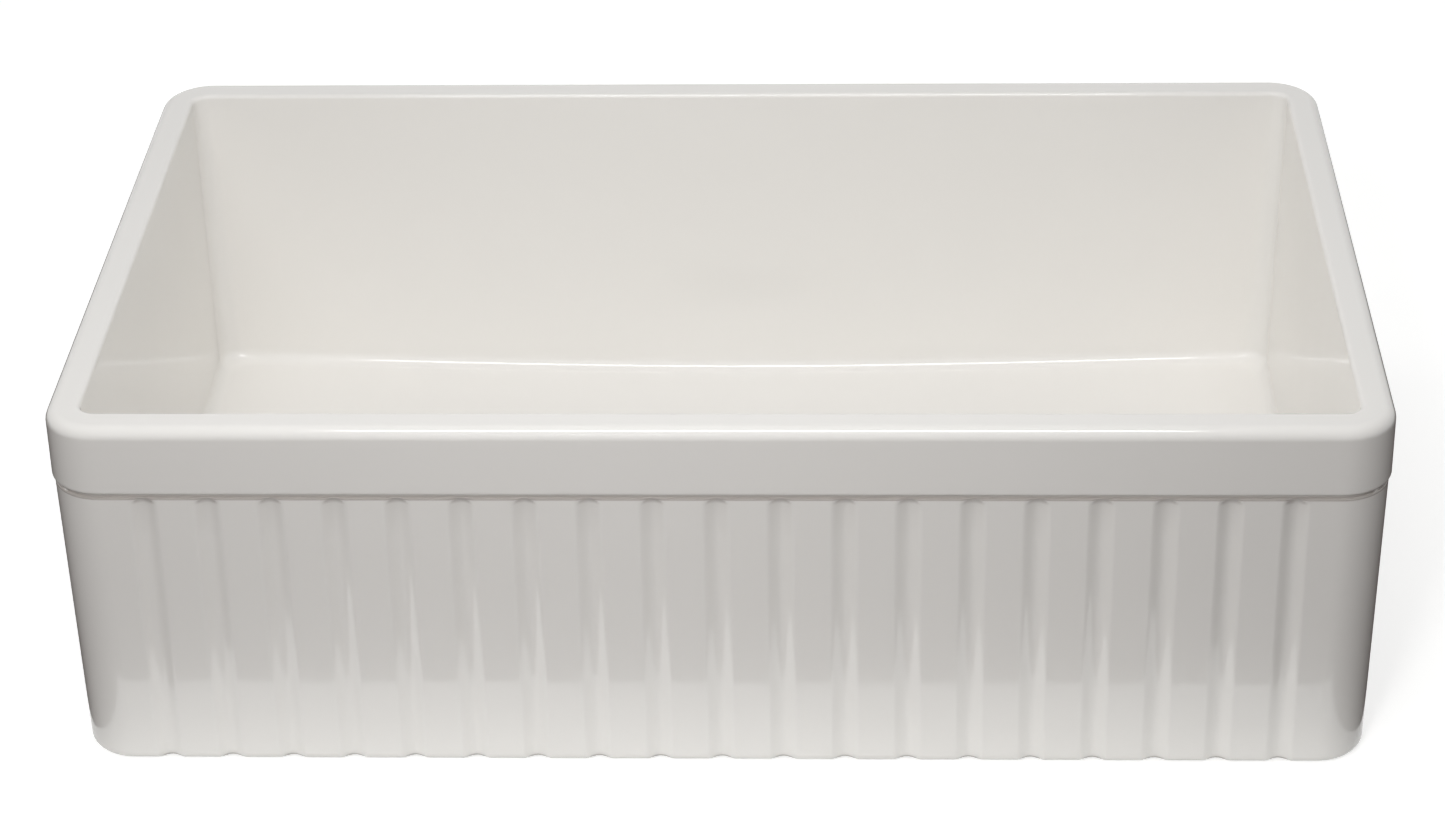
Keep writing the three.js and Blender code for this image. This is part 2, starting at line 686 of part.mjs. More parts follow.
function stopper() {
  const hole = POST_STUD_RADIUS + STUD_CLEARANCE;
  const edgeCentre = STOPPER_RADIUS - STOPPER_EDGE_ROUND;
  const profile = [
    [hole, 0],
    ...arc(edgeCentre, STOPPER_EDGE_ROUND, STOPPER_EDGE_ROUND, -QUARTER, 0, ROUND_STEPS / 2),
    [STOPPER_RADIUS, STOPPER_THICKNESS],
    [hole, STOPPER_THICKNESS],
  ];
  return piece("stopper", turned(profile, SMALL_TURN_STEPS), rubberMaterial(), seat);
}

function stopperNut() {
  const hole = POST_STUD_RADIUS + STUD_CLEARANCE;
  const blank = solidOf(cylinder(STOPPER_NUT_RADIUS, 0, STOPPER_NUT_HEIGHT, HEXAGON));
  const bore = solidOf(cylinder(hole, -OVERSHOOT, STOPPER_NUT_HEIGHT + OVERSHOOT, SMALL_TURN_STEPS));
  const bottom = seat - GAP - STOPPER_NUT_HEIGHT;
  return piece("stopper_nut", geometryOf(blank.subtract(bore)), steelMaterial(), bottom);
}

// ---------------------------------------------------------------- the assembly

const stopperGroup = new THREE.Group();
stopperGroup.add(centrePost(), liftKnob(), stopperWasher(), stopper(), stopperNut());

const basketGroup = new THREE.Group();
basketGroup.add(basket(), postBush(), stopperGroup);

const wasteGroup = new THREE.Group();
wasteGroup.add(drainSealantRing(), strainerBody(), sinkGasket(), frictionRing(), locknut());
wasteGroup.add(tailpieceWasher(), tailpiece(), slipNut(), basketGroup);

const sink = new THREE.Group();
sink.add(fireclayBasin(), wasteGroup);

export default sink;
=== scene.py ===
"""Looks of a farmhouse apron front sink: the glazed casting, the basket strainer waste and a plain stage.

Laid out as an add-on and run as a script. All sizes are metres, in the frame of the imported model: +Z up, the
fluted apron towards -Y, the origin in the middle of the casting's underside, on the axis of the drain.
"""
from functools import partial

import bmesh
import bpy
import numpy as np
from bpy.props import FloatProperty, FloatVectorProperty, IntProperty, PointerProperty
from mathutils import Matrix, Vector


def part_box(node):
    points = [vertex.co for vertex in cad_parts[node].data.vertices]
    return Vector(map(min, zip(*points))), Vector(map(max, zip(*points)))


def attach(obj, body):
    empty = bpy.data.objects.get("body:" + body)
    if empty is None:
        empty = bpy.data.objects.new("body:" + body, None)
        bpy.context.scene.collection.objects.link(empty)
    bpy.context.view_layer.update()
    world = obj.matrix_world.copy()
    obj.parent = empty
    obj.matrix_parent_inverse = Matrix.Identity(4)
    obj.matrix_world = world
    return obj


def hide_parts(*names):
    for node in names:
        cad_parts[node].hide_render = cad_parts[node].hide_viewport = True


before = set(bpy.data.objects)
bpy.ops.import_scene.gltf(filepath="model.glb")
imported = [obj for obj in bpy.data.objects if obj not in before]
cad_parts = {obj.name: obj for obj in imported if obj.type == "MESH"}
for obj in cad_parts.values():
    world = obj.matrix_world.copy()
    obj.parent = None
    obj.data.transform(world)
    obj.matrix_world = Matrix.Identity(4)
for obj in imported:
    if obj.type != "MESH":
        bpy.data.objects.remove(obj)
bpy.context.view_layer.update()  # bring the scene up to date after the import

bl_info = {
    "name": "Farmhouse Apron Front Sink",
    "version": (1, 0, 0),
    "blender": (4, 5, 0),
    "location": "View3D > Sidebar > Sink",
    "description": "Builds the glazed casting and the basket strainer waste of an apron front sink",
    "category": "Add Mesh",
}

MM = 0.001
GAP = 0.3 * MM  # left between two pieces that touch
QUARTER = np.pi / 2
TURN = 2 * np.pi

CASTING_LOW, CASTING_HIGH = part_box("fireclay_basin")

# How finely shapes are divided
CORNER_COLUMNS = 15
BACK_COLUMNS = 60
SIDE_COLUMNS = 40
FLUTE_COLUMNS = 17
LAND_COLUMNS = 3
APRON_END_COLUMNS = 5
TURNED_COLUMNS = 96
NUT_COLUMNS = 360
BASKET_COLUMNS = 144
POST_COLUMNS = 64
SLOT_STEPS = 12
SLOT_RINGS = 4
THREAD_STEP = 0.28 * MM

FLUTE_CURVE = 0.6  # how much of a flute's rounded end is there before the groove cuts it off
RECESS_LIP = 1.2 * MM  # kept between the bowl floor's rings and the recess of the flange
BASKET_DEPTH = 22.2 * MM  # from the ledge that the basket rests on to the underside of its floor
FLOOR_LEVEL = -0.2 * MM  # the stage's floor lies just below the underside
CARD_LEVEL = 0.4 * MM  # the stage's dark cards lie just above the floor


# ---------------------------------------------------------------- properties


def length(name, description, default):
    """A length property in metres."""
    return FloatProperty(name=name, description=description, default=default, min=0, unit="LENGTH")


def slope(name, description, degrees):
    """An angle property, given in degrees."""
    return FloatProperty(name=name, description=description, default=np.radians(degrees), subtype="ANGLE")


def number(name, description, default):
    """A plain number, such as a slope or a lamp's watts."""
    return FloatProperty(name=name, description=description, default=default)


def whole(name, description, default, least):
    """A whole number."""
    return IntProperty(name=name, description=description, default=default, min=least)


def colour(name, description, default):
    """A colour property, linear."""
    return FloatVectorProperty(
        name=name, description=description, default=default, size=3, min=0, max=1, subtype="COLOR"
    )


class SinkCastingSettings(bpy.types.PropertyGroup):
    corner_radius: length("Corner Radius", "Upright corners, at the band", 0.034)
    rim_outer_round: length("Rim Outer Round", "Edge between the band and the rim", 0.008)
    rim_inner_round: length("Rim Inner Round", "Edge between the rim and the bowl", 0.003)
    band_height: length("Band Height", "Plain band, measured down from the rim", 0.047)
    band_step: length("Band Step", "How far the band stands proud of the apron", 0.0015)
    band_lower_round: length("Band Lower Round", "Lower edge of the band", 0.0025)
    cove_height: length("Cove Height", "Height of the groove under the band", 0.0035)
    cove_depth: length("Cove Depth", "Depth of the groove under the band", 0.0012)
    bottom_round: length("Bottom Round", "Edge between the apron and the underside", 0.0065)
    outside_draft: slope("Outside Draft", "Lean of the sides and the back below the band", 1.06)
    flute_count: whole("Flutes", "Number of flutes", 19, 2)
    flute_pitch: length("Flute Pitch", "From the middle of one flute to the next", 0.0397)
    flute_width: length("Flute Width", "Across one flute", 0.018)
    flute_depth: length("Flute Depth", "At the middle of a flute", 0.0034)
    flute_end: length("Flute End", "Height of the rounded top end of a flute", 0.007)
    rim_side: length("Rim Width, Sides", "From the outside to the bowl's wall", 0.022)
    rim_back: length("Rim Width, Back", "From the outside to the bowl's wall", 0.024)
    rim_front: length("Rim Width, Front", "From the outside to the bowl's wall", 0.023)
    bowl_corner: length("Bowl Corner", "Upright corners of the bowl, at the rim", 0.011)
    bowl_corner_growth: number("Bowl Corner Growth", "Added to the corner for each unit down", 0.03)
    bowl_side_draft: slope("Bowl Side Draft", "Lean of the bowl's side walls", 1.6)
    bowl_end_draft: slope("Bowl End Draft", "Lean of the bowl's front and back walls", 4.1)
    floor_fillet: length("Floor Fillet", "Between the bowl's walls and its floor", 0.009)
    floor_height: length("Floor Height", "Of the floor's cone at the drain's axis", 0.0215)
    floor_fall: number("Floor Fall", "Slope towards the drain", 0.036)
    drain_hole: length("Drain Hole", "Radius of the hole", 0.0445)
    flange_recess: length("Flange Recess", "Radius of the recess in the floor", 0.0595)
    flange_recess_depth: length("Flange Recess Depth", "Below the floor", 0.0034)
    underside_recess: length("Underside Recess", "Radius of the recess below", 0.075)
    underside_recess_depth: length("Underside Recess Depth", "Above the underside", 0.004)
    glaze: colour("Glaze", "Body colour of the glaze", (0.918, 0.90, 0.87))
    glaze_shade: colour("Glaze Shade", "Where the glaze lies a little thicker", (0.905, 0.886, 0.852))
    # Dark brown for the glaze breaking thin or pooling, and also painted shade in the groove, the flutes' upper ends
    # and sharp hollows, and a painted contact shadow at the flutes' feet
    broken_glaze_and_shade: colour("Glaze in Hollows", "Where the glaze gathers in sharp hollows", (0.37, 0.325, 0.295))


class SinkWasteSettings(bpy.types.PropertyGroup):
    flange_radius: length("Flange Radius", "Half of the standard 4 1/2 in flange", 0.057)
    flange_thickness: length("Flange Thickness", "At its outer edge", 0.0014)
    flange_dish: length("Flange Dish", "Fall of the flange's top towards the cup", 0.0005)
    cup_radius: length("Cup Radius", "Inside the mouth", 0.040)
    cup_outer: length("Cup Outer Radius", "Over the large thread", 0.0425)
    cup_mouth_round: length("Cup Mouth Round", "Between the flange and the cup", 0.006)
    lower_cup: length("Lower Cup Radius", "Inside, below the basket's ledge", 0.0374)
    ledge_depth: length("Ledge Depth", "Below the flange's underside", 0.0102)
    cone_top: length("Cone Top", "Below the flange's underside", 0.0362)
    seat_depth: length("Seat Depth", "Of the stopper's seat, below the flange's underside", 0.0482)
    seat_radius: length("Seat Radius", "Of the flat seat", 0.030)
    cup_wall: length("Cup Wall", "Wall of the cup's bottom", 0.0024)
    thread_end: length("Thread End", "Of the large thread, below the flange's underside", 0.043)
    thread_pitch: length("Thread Pitch", "Of both threads", 0.0022)
    thread_depth: length("Thread Depth", "Of both threads", 0.0007)
    neck_bore: length("Neck Bore", "Inside radius", 0.0186)
    neck_radius: length("Neck Radius", "Outside radius", 0.0234)
    neck_end: length("Neck End", "Below the flange's underside", 0.0722)
    bar_depth: length("Bar Depth", "Top of the cross bars, below the flange's underside", 0.0595)
    bar_width: length("Bar Width", "Of each cross bar", 0.004)
    bar_height: length("Bar Height", "Of each cross bar", 0.0035)
    strainer_turn: slope("Strainer Turn", "How far the strainer is turned from square", 3.7)
    ring_inner: length("Ring Inner Radius", "Of the rings round the cup", 0.0455)
    ring_outer: length("Ring Outer Radius", "Of the rings round the cup", 0.056)
    tailpiece_wall: length("Tailpiece Wall", "Thickness of the tube", 0.0012)
    sheet: length("Sheet", "Thickness of the basket's steel", 0.0012)
    wall_slots: whole("Wall Slots", "Slots round the basket's wall", 18, 6)
    floor_slots: whole("Floor Slots", "Slots in the basket's floor", 12, 4)
    slot_width: length("Slot Width", "Of the basket's slots", 0.0032)
    slot_height: length("Slot Height", "Of the slots in the wall", 0.010)
    slot_middle: length("Slot Middle", "Below the ledge", 0.0095)
    steel: colour("Steel", "Stainless steel", (0.58, 0.575, 0.56))
    chrome: colour("Chrome", "Polished chrome", (0.64, 0.645, 0.65))
    zinc: colour("Zinc", "Cast zinc", (0.40, 0.40, 0.405))
    brass: colour("Brass", "Clean brass", (0.72, 0.50, 0.22))
    brass_dull: colour("Dull Brass", "Tarnished brass", (0.45, 0.30, 0.14))
    rubber: colour("Rubber", "Black rubber", (0.025, 0.025, 0.026))
    sealant: colour("Sealant", "Bedding sealant", (0.72, 0.71, 0.67))
    fibre: colour("Fibre", "Red fibre", (0.33, 0.09, 0.06))
    nylon: colour("Nylon", "White nylon", (0.78, 0.78, 0.74))


class SinkStageSettings(bpy.types.PropertyGroup):
    camera_place: FloatVectorProperty(
        name="Camera", description="Place of the camera", default=(0.0878, -2.2054, 1.3709), size=3
    )
    camera_yaw: slope("Yaw", "Turn of the view to the left", 2.43)
    camera_pitch: slope("Pitch", "Tilt of the view below the horizon", 29.65)
    camera_roll: slope("Roll", "Turn of the picture", 1.19)
    camera_lens: number("Lens", "Focal length in millimetres", 91.69)
    floor_colour: colour("Floor", "Colour of the floor", (0.72, 0.72, 0.71))
    floor_glow: number("Floor Glow", "Lifts the lit floor to white where it is seen", 0.62)
    top_power: number("Top Light", "Watts of the light overhead", 7.4)
    key_power: number("Key Light", "Watts of the light above the apron", 3.5)
    strip_power: number("Strip Light", "Watts of the strip that only the gloss mirrors", 11)
    front_power: number("Front Light", "Watts of the wide light in front", 5.2)
    spot_power: number("Spot Light", "Watts of the narrow beam in front", 1.6)
    back_power: number("Back Light", "Watts of the low light behind", 4.5)
    glow_power: number("Glow", "Watts thrown up from the floor at the apron", 0.037)
    card_colour: colour("Card", "Colour of the dark cards beside the sink", (0.06, 0.035, 0.03))
    card_gap: length("Card Gap", "Between the sink's sides and the cards", 0.012)
    card_front_gap: length("Card Front Gap", "Between the apron and the card in front", 0.09)
    ambient: number("Ambient", "Strength of the world's light", 0.3)


# ---------------------------------------------------------------- meshes


def grid_faces(rings, columns, join_rings=False):
    """Quads between neighbouring points of closed rings, as rows of four point numbers.

    join_rings also joins the last ring to the first.
    """
    ring = np.arange(rings if join_rings else rings - 1)[:, None]
    column = np.arange(columns)
    above, beside = (ring + 1) % rings, (column + 1) % columns
    corners = (ring * columns + column, ring * columns + beside, above * columns + beside, above * columns + column)
    return np.stack(corners, -1).reshape(-1, 4)


def mesh_object(name, points, faces, material):
    """A smooth mesh at the origin from an array of points and a list of faces."""
    mesh = bpy.data.meshes.new(name)
    mesh.from_pydata(np.asarray(points, float).reshape(-1, 3).tolist(), [], [list(f) for f in faces])
    mesh.validate()
    mesh.shade_smooth()
    mesh.materials.append(material)
    made = bpy.data.objects.new(name, mesh)
    bpy.context.scene.collection.objects.link(made)
    return made


def weld(made, distance=1e-6):
    """Turns all faces outwards and, unless the distance is 0, merges points that coincide."""
    edit = bmesh.new()
    edit.from_mesh(made.data)
    if distance:
        bmesh.ops.remove_doubles(edit, verts=edit.verts, dist=distance)
    bmesh.ops.recalc_face_normals(edit, faces=edit.faces)
    edit.to_mesh(made.data)
    edit.free()
    return made


def place_piece(made, body, slot, *nodes):
    """Declares what a piece rides on and which CAD nodes it stands for, by hanging it on its body and hiding those
    nodes. The slot, which names its finish, is not used.
    """
    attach(made, body)
    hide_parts(*nodes)


def spread(count):
    """Places between -1 and 1 without the ends: the sine of an even spread, closer towards the ends."""
    return np.sin(np.linspace(-1, 1, count + 2)[1:-1] * QUARTER)


def arc(radius, steps):
    """A rounded edge over a quarter turn: rows of radius (1 - cos), growing, and radius (1 - sin), shrinking."""
    angle = np.linspace(0, QUARTER, steps + 1)
    return radius * np.column_stack([1 - np.cos(angle), 1 - np.sin(angle)])


def flat_ring(x, y, height):
    """Points at one height, or at a height for each point."""
    return np.stack([x, y, np.broadcast_to(height, x.shape)], -1)


def round_ring(radius, angle, height):
    """Points at a radius and an angle about the Z axis, at one height or at a height for each."""
    return flat_ring(radius * np.cos(angle), radius * np.sin(angle), height)


def turn_plan(x, y, turn):
    """x and y turned about the Z axis."""
    return x * np.cos(turn) - y * np.sin(turn), x * np.sin(turn) + y * np.cos(turn)


def outline(corners, steps=6, closed=True, hold=0.3 * MM):
    """Profile of (radius, height) through corners given as (radius, height, round).

    A corner's arc has its centre on the corner's bisector, at round / sin(half the angle between its sides).
    Each straight stretch keeps a point just past either end, so that smooth shading stays flat on it.
    """
    places = np.array([c[:2] for c in corners], float)
    rounds = [c[2] if len(c) > 2 else 0 for c in corners]
    count = len(corners)
    stretches = []
    for i in range(count):
        here = places[i]
        if not closed and i in (0, count - 1):
            stretches.append(here[None])
            continue
        back = places[i - 1] - here
        ahead = places[(i + 1) % count] - here
        back_length, ahead_length = np.linalg.norm(back), np.linalg.norm(ahead)
        back, ahead = back / back_length, ahead / ahead_length
        half = np.arccos(np.clip(back @ ahead, -1, 1)) / 2
        reach = min(rounds[i] / np.tan(half), 0.49 * back_length, 0.49 * ahead_length)
        if reach <= 0:
            before = here + back * min(hold, back_length / 4)
            after = here + ahead * min(hold, ahead_length / 4)
            stretches.append(np.array([before, here, after]))
            continue
        middle = (back + ahead) / np.linalg.norm(back + ahead)
        centre = here + middle * reach / np.cos(half)
        start, end = here + back * reach - centre, here + ahead * reach - centre
        share = np.linspace(0, 1, steps + 1)[:, None]
        turn = np.pi - 2 * half
        bow = (np.sin((1 - share) * turn) * start + np.sin(share * turn) * end) / np.sin(turn)
        before = here + back * min(reach + hold, back_length / 2)
        after = here + ahead * min(reach + hold, ahead_length / 2)
        stretches.append(np.vstack([before, centre + bow, after]))
    return np.vstack(stretches)


def turned_points(profile, columns=TURNED_COLUMNS):
    """A profile carried round the Z axis: (r cos, r sin, height) for each angle."""
    return round_ring(profile[:, :1], np.arange(columns) * TURN / columns, profile[:, 1:2])


def turned(profile, columns=TURNED_COLUMNS, shape=None):
    """Points and faces of a turned solid. A profile that starts and ends on the axis gets two poles.

    shape(points) may change the rings by columns grid of points.
    """
    has_poles = profile[0, 0] < 1e-9 and profile[-1, 0] < 1e-9
    points = turned_points(profile[1:-1] if has_poles else profile, columns)
    if shape:
        points = shape(points)
    rings = len(points)
    if not has_poles:
        return points.reshape(-1, 3), grid_faces(rings, columns, join_rings=True).tolist()
    faces = grid_faces(rings, columns).tolist()
    column = np.arange(columns)
    beside = (column + 1) % columns
    first_pole = np.full(columns, rings * columns)
    faces += np.column_stack([first_pole, beside, column]).tolist()
    last = (rings - 1) * columns
    faces += np.column_stack([first_pole + 1, last + column, last + beside]).tolist()
    poles = [[0, 0, profile[0, 1]], [0, 0, profile[-1, 1]]]
    return np.vstack([points.reshape(-1, 3), poles]), faces


def solid(name, shells, material):
    """One mesh from closed shells of points and faces, all facing outwards."""
    points, faces = [], []
    for shell_points, shell_faces in shells:
        first = sum(map(len, points))
        points.append(shell_points)
        faces += [[first + i for i in face] for face in shell_faces]
    return weld(mesh_object(name, np.vstack(points), faces, material))


def turned_piece(name, profile, material, *placing, columns=TURNED_COLUMNS, shape=None):
    """Builds a turned piece and declares its body and its CAD node."""
    place_piece(solid(name, [turned(profile, columns, shape)], material), *placing)


def rod(reach, width, height, turn, middle_height, columns=24):
    """A bar across the Z axis with a rounded section, turned about Z: a superellipse along a line."""
    angle = np.arange(columns) * TURN / columns
    cos, sin = np.cos(angle), np.sin(angle)
    across = width / 2 * np.sign(cos) * np.abs(cos) ** 0.5
    up = height / 2 * np.sign(sin) * np.abs(sin) ** 0.5
    along = np.array([-1.0, 1.0])[:, None] * reach / 2
    ends = [list(range(columns)), list(range(columns, 2 * columns))]
    faces = grid_faces(2, columns).tolist() + ends
    return flat_ring(*turn_plan(along, across, turn), up + middle_height).reshape(-1, 3), faces


def dense(profile, radius, step):
    """The profile with more points along its upright stretches at a radius."""
    stretches = []
    for here, ahead in zip(profile, np.roll(profile, -1, 0)):
        upright = max(abs(here[0] - radius), abs(ahead[0] - radius)) < 1e-6
        count = int(np.ceil(np.linalg.norm(ahead - here) / step)) if upright else 1
        stretches.append(here + (ahead - here) * np.arange(count)[:, None] / count)
    return np.vstack(stretches)


def smooth_step(low, high, value):
    """0 below low, 1 above high and 3 t^2 - 2 t^3 between them."""
    share = np.clip((value - low) / (high - low), 0, 1)
    return share * share * (3 - 2 * share)


def polar(points):
    """Radius and angle of points about the Z axis."""
    return np.hypot(points[..., 0], points[..., 1]), np.arctan2(points[..., 1], points[..., 0])


def threaded(points, radius, low, high, pitch, depth):
    """Cuts a thread into the points at a radius: depth (1 - cos(turns of a helix)) / 2, fading at both ends."""
    own, angle = polar(points)
    height = points[..., 2]
    wave = (1 - np.cos(TURN * height / pitch - angle)) / 2
    fade = smooth_step(low, low + pitch, height) * (1 - smooth_step(high - pitch, high, height))
    cut = np.where(np.abs(own - radius) < 1e-6, depth * wave * fade, 0)
    return round_ring(own - cut, angle, height)


def with_lugs(points, inside, reach, width, lugs, low, high):
    """Raises flat-ended lugs from the outside of a ring, between two heights."""
    own, angle = polar(points)
    off = (angle + np.pi / lugs) % (TURN / lugs) - np.pi / lugs
    across = own * np.abs(np.sin(off))
    lug = 1 - smooth_step(width / 2 - 0.7 * MM, width / 2 + 0.4 * MM, across)
    height = points[..., 2]
    up = smooth_step(low, low + 0.8 * MM, height) * (1 - smooth_step(high - 0.8 * MM, high, height))
    outside = np.where(own > inside, lug * up, 0)
    return round_ring(own + (reach / np.cos(off) - own) * outside, angle, height)


def slotted_cell(steps, corners, slot, fold):
    """Faces round one slot in a cell, as points and faces to be welded.

    The cell's outline is a rectangle of corners (low, high) that fold(across, along) carries to the slot's own
    plane. The slot is a stadium: every point of the outline is drawn towards the nearest point of the
    stadium's middle line, and the rings between are even blends.
    """
    (low_across, low_along), (high_across, high_along) = corners
    across = np.linspace(low_across, high_across, steps[0] + 1)
    along = np.linspace(low_along, high_along, steps[1] + 1)
    right, left = np.full(steps[1], high_across), np.full(steps[1], low_across)
    bottom, top = np.full(steps[0], low_along), np.full(steps[0], high_along)
    outline_across = np.concatenate([across[:-1], right, across[:0:-1], left])
    outline_along = np.concatenate([bottom, along[:-1], top, along[:0:-1]])
    outer = np.column_stack(fold(outline_across, outline_along))
    start, end, radius = slot
    share = (outline_along - low_along) / (high_along - low_along)
    middle = np.column_stack([np.zeros(share.size), start + radius + share * (end - start - 2 * radius)])
    away = outer - middle
    inner = middle + radius * away / np.linalg.norm(away, axis=1, keepdims=True)
    blend = np.linspace(0, 1, SLOT_RINGS)[:, None, None] ** 1.5
    return inner + (outer - inner) * blend, grid_faces(SLOT_RINGS, share.size)


# ---------------------------------------------------------------- the casting


class CastingColumns:
    """The columns of the casting's grid, anticlockwise from the back right corner.

    Column j stands at x = share_x (half width - radius) + radius cos(angle), and y likewise. Along the front
    the columns crowd into the flutes: x = middle of the flute - half its width * cos of an even spread.
    """

    def __init__(self, s):
        self.s = s
        self.straight = CASTING_HIGH.x - s.corner_radius
        self.flute_middles = (np.arange(s.flute_count) - (s.flute_count - 1) / 2) * s.flute_pitch
        self.flute_reach = self.flute_middles[-1] + s.flute_width / 2
        front = self.front_places()
        corner = np.linspace(0, QUARTER, CORNER_COLUMNS)
        ones = np.ones(CORNER_COLUMNS)
        back, side = spread(BACK_COLUMNS), spread(SIDE_COLUMNS)
        share_x = [ones, -back, -ones, -np.ones(side.size), -ones, front / self.straight, ones, np.ones(side.size)]
        share_y = [ones, np.ones(back.size), ones, -side, -ones, -np.ones(front.size), -ones, side]
        angle = [corner, np.full(back.size, QUARTER), corner + QUARTER, np.full(side.size, np.pi)]
        angle += [corner + np.pi, np.full(front.size, 3 * QUARTER), corner + 3 * QUARTER, np.zeros(side.size)]
        self.share_x, self.share_y = np.concatenate(share_x), np.concatenate(share_y)
        self.cos, self.sin = np.cos(np.concatenate(angle)), np.sin(np.concatenate(angle))
        start = 3 * CORNER_COLUMNS + back.size + side.size
        self.on_front = np.zeros(self.share_x.size, bool)
        self.on_front[start : start + front.size] = True

    def front_places(self):
        """x of the columns along the front's straight part."""
        s = self.s
        turn = np.linspace(0, np.pi, FLUTE_COLUMNS)
        flutes = self.flute_middles[:, None] - s.flute_width / 2 * np.cos(turn)
        land_middles = (self.flute_middles[:-1, None] + self.flute_middles[1:, None]) / 2
        lands = land_middles + (s.flute_pitch - s.flute_width) / 2 * spread(LAND_COLUMNS)
        middle, half = (self.straight + self.flute_reach) / 2, (self.straight - self.flute_reach) / 2
        end = middle + half * spread(APRON_END_COLUMNS)
        return np.sort(np.concatenate([flutes.ravel(), lands.ravel(), end, -end]))

    def plan(self, half_width, front, back, radius, upright=False):
        """x and y of every column on a rounded rectangle. upright keeps the flutes' columns upright."""
        straight = half_width - radius
        x = self.share_x * straight
        if upright:
            place = np.abs(self.share_x * self.straight)
            share = (place - self.flute_reach) / (self.straight - self.flute_reach)
            moved = self.flute_reach + share * (straight - self.flute_reach)
            kept = np.sign(self.share_x) * np.where(place > self.flute_reach, moved, place)
            x = np.where(self.on_front, kept, x)
        x = x + radius * self.cos
        y = (front + back) / 2 + self.share_y * ((back - front) / 2 - radius) + radius * self.sin
        return x, y

    def outside(self, height, inset, flute_base=None):
        """A ring of the outside. inset is in from the band's face, and flute_base is where flutes begin."""
        s = self.s
        band_bottom = CASTING_HIGH.z - s.band_height
        drafted = inset + max(0, band_bottom - height) * np.tan(s.outside_draft)
        x, y = self.plan(
            CASTING_HIGH.x - drafted,
            CASTING_LOW.y + inset,
            CASTING_HIGH.y - drafted,
            s.corner_radius - inset,
            upright=True,
        )
        if flute_base is not None:
            extra = flute_base - inset + s.flute_depth * self.flute_form(x, height)
            y = y + np.where(self.on_front, np.maximum(0, extra), 0)
        return flat_ring(x, y, height)

    def flute_form(self, x, height):
        """Depth of the flutes as a share: (1 - u^2 - w^2)^2, u across the flute and w up its rounded end."""
        s = self.s
        land_top = CASTING_HIGH.z - s.band_height - s.cove_height
        nearest = self.flute_middles[np.abs(x[..., None] - self.flute_middles).argmin(-1)]
        across = (x - nearest) / (s.flute_width / 2)
        up = np.maximum(0, (height - land_top + FLUTE_CURVE * s.flute_end) / s.flute_end)
        return np.maximum(0, 1 - across**2 - up**2) ** 2

    def bowl(self, height, inset):
        """Plan of the bowl at a height. inset is in from the bowl's drafted wall."""
        s = self.s
        depth = CASTING_HIGH.z - height
        side = s.rim_side + depth * np.tan(s.bowl_side_draft) + inset
        end = depth * np.tan(s.bowl_end_draft) + inset
        return self.plan(
            CASTING_HIGH.x - side,
            CASTING_LOW.y + s.rim_front + end,
            CASTING_HIGH.y - s.rim_back - end,
            s.bowl_corner + depth * s.bowl_corner_growth - min(0, inset),
        )

    def bowl_above_floor(self, rise, inset):
        """A ring of the bowl that stays a given rise above the sloping floor. Its height settles in three rounds."""
        height = np.full(self.share_x.size, self.s.floor_height + rise)
        for _ in range(3):
            x, y = self.bowl(height, inset)
            height = floor_height(self.s, x, y) + rise
        return flat_ring(x, y, height)


def floor_height(s, x, y):
    """The bowl's floor is a flat cone: its height grows with the distance from the drain."""
    return s.floor_height + s.floor_fall * np.hypot(x, y)


def casting_outside_rings(s, columns):
    """From the bottom edge up over the lands, the groove and the band to the flat of the rim."""
    top = CASTING_HIGH.z
    band_bottom = top - s.band_height
    land_top = band_bottom - s.cove_height
    flute_end = land_top - FLUTE_CURVE * s.flute_end
    land, groove = s.band_step, s.band_step + s.cove_depth
    straight, ends = np.linspace(20 * MM, flute_end, 8), np.linspace(flute_end, land_top, 7)[1:-1]
    cove = (land_top + s.cove_depth + 0.4 * MM, band_bottom - 0.4 * MM, band_bottom)
    band_low, band_high = band_bottom + s.band_lower_round, top - s.rim_outer_round
    # rows of height, inset and, where there are flutes, the inset that they begin at
    rows = [(rise, land + inset, land + inset) for rise, inset in arc(s.bottom_round, 8)]
    rows += [(height, land, land) for height in (s.bottom_round + MM, *straight, *ends)]
    rows += [(land_top + s.cove_depth - inset, land + rise, land) for rise, inset in arc(s.cove_depth, 5)]
    rows += [(height, groove) for height in cove]
    rows += [(band_bottom + rise, inset) for rise, inset in arc(s.band_lower_round, 8)]
    rows += [(band_low + share * (band_high - band_low), 0) for share in (0.02, 0.35, 0.65, 0.98)]
    rows += [(top - inset, rise) for rise, inset in arc(s.rim_outer_round, 12)]
    return [columns.outside(*row) for row in rows]


def casting_bowl_rings(s, columns):
    """From the flat of the rim down the bowl's wall and over the floor to the recess of the flange."""
    top = CASTING_HIGH.z
    outer = columns.outside(top, s.rim_outer_round)
    inner = flat_ring(*columns.bowl(top, -s.rim_inner_round), top)
    rings = [outer + (inner - outer) * share for share in (0.06, 0.5, 0.94)]
    for rise, inset in arc(s.rim_inner_round, 9):
        rings.append(flat_ring(*columns.bowl(top - rise, -inset), top - rise))
    wall_high = top - s.rim_inner_round
    wall_low = columns.bowl_above_floor(s.floor_fillet, 0)[:, 2]
    for share in (0.01, 0.1, 0.3, 0.5, 0.7, 0.9, 0.99):
        height = wall_high + share * (wall_low - wall_high)
        rings.append(flat_ring(*columns.bowl(height, 0), height))
    rings += [columns.bowl_above_floor(inset, rise) for rise, inset in arc(s.floor_fillet, 12)]
    x, y = rings[-1][:, 0], rings[-1][:, 1]
    turn = np.arctan2(y, x)
    edge = s.flange_recess + RECESS_LIP
    for share in (0.01, 0.05, 0.15, 0.3, 0.45, 0.6, 0.75, 0.88, 0.96, 1):
        floor_x = x + (edge * np.cos(turn) - x) * share
        floor_y = y + (edge * np.sin(turn) - y) * share
        rings.append(flat_ring(floor_x, floor_y, floor_height(s, floor_x, floor_y)))
    return rings, turn


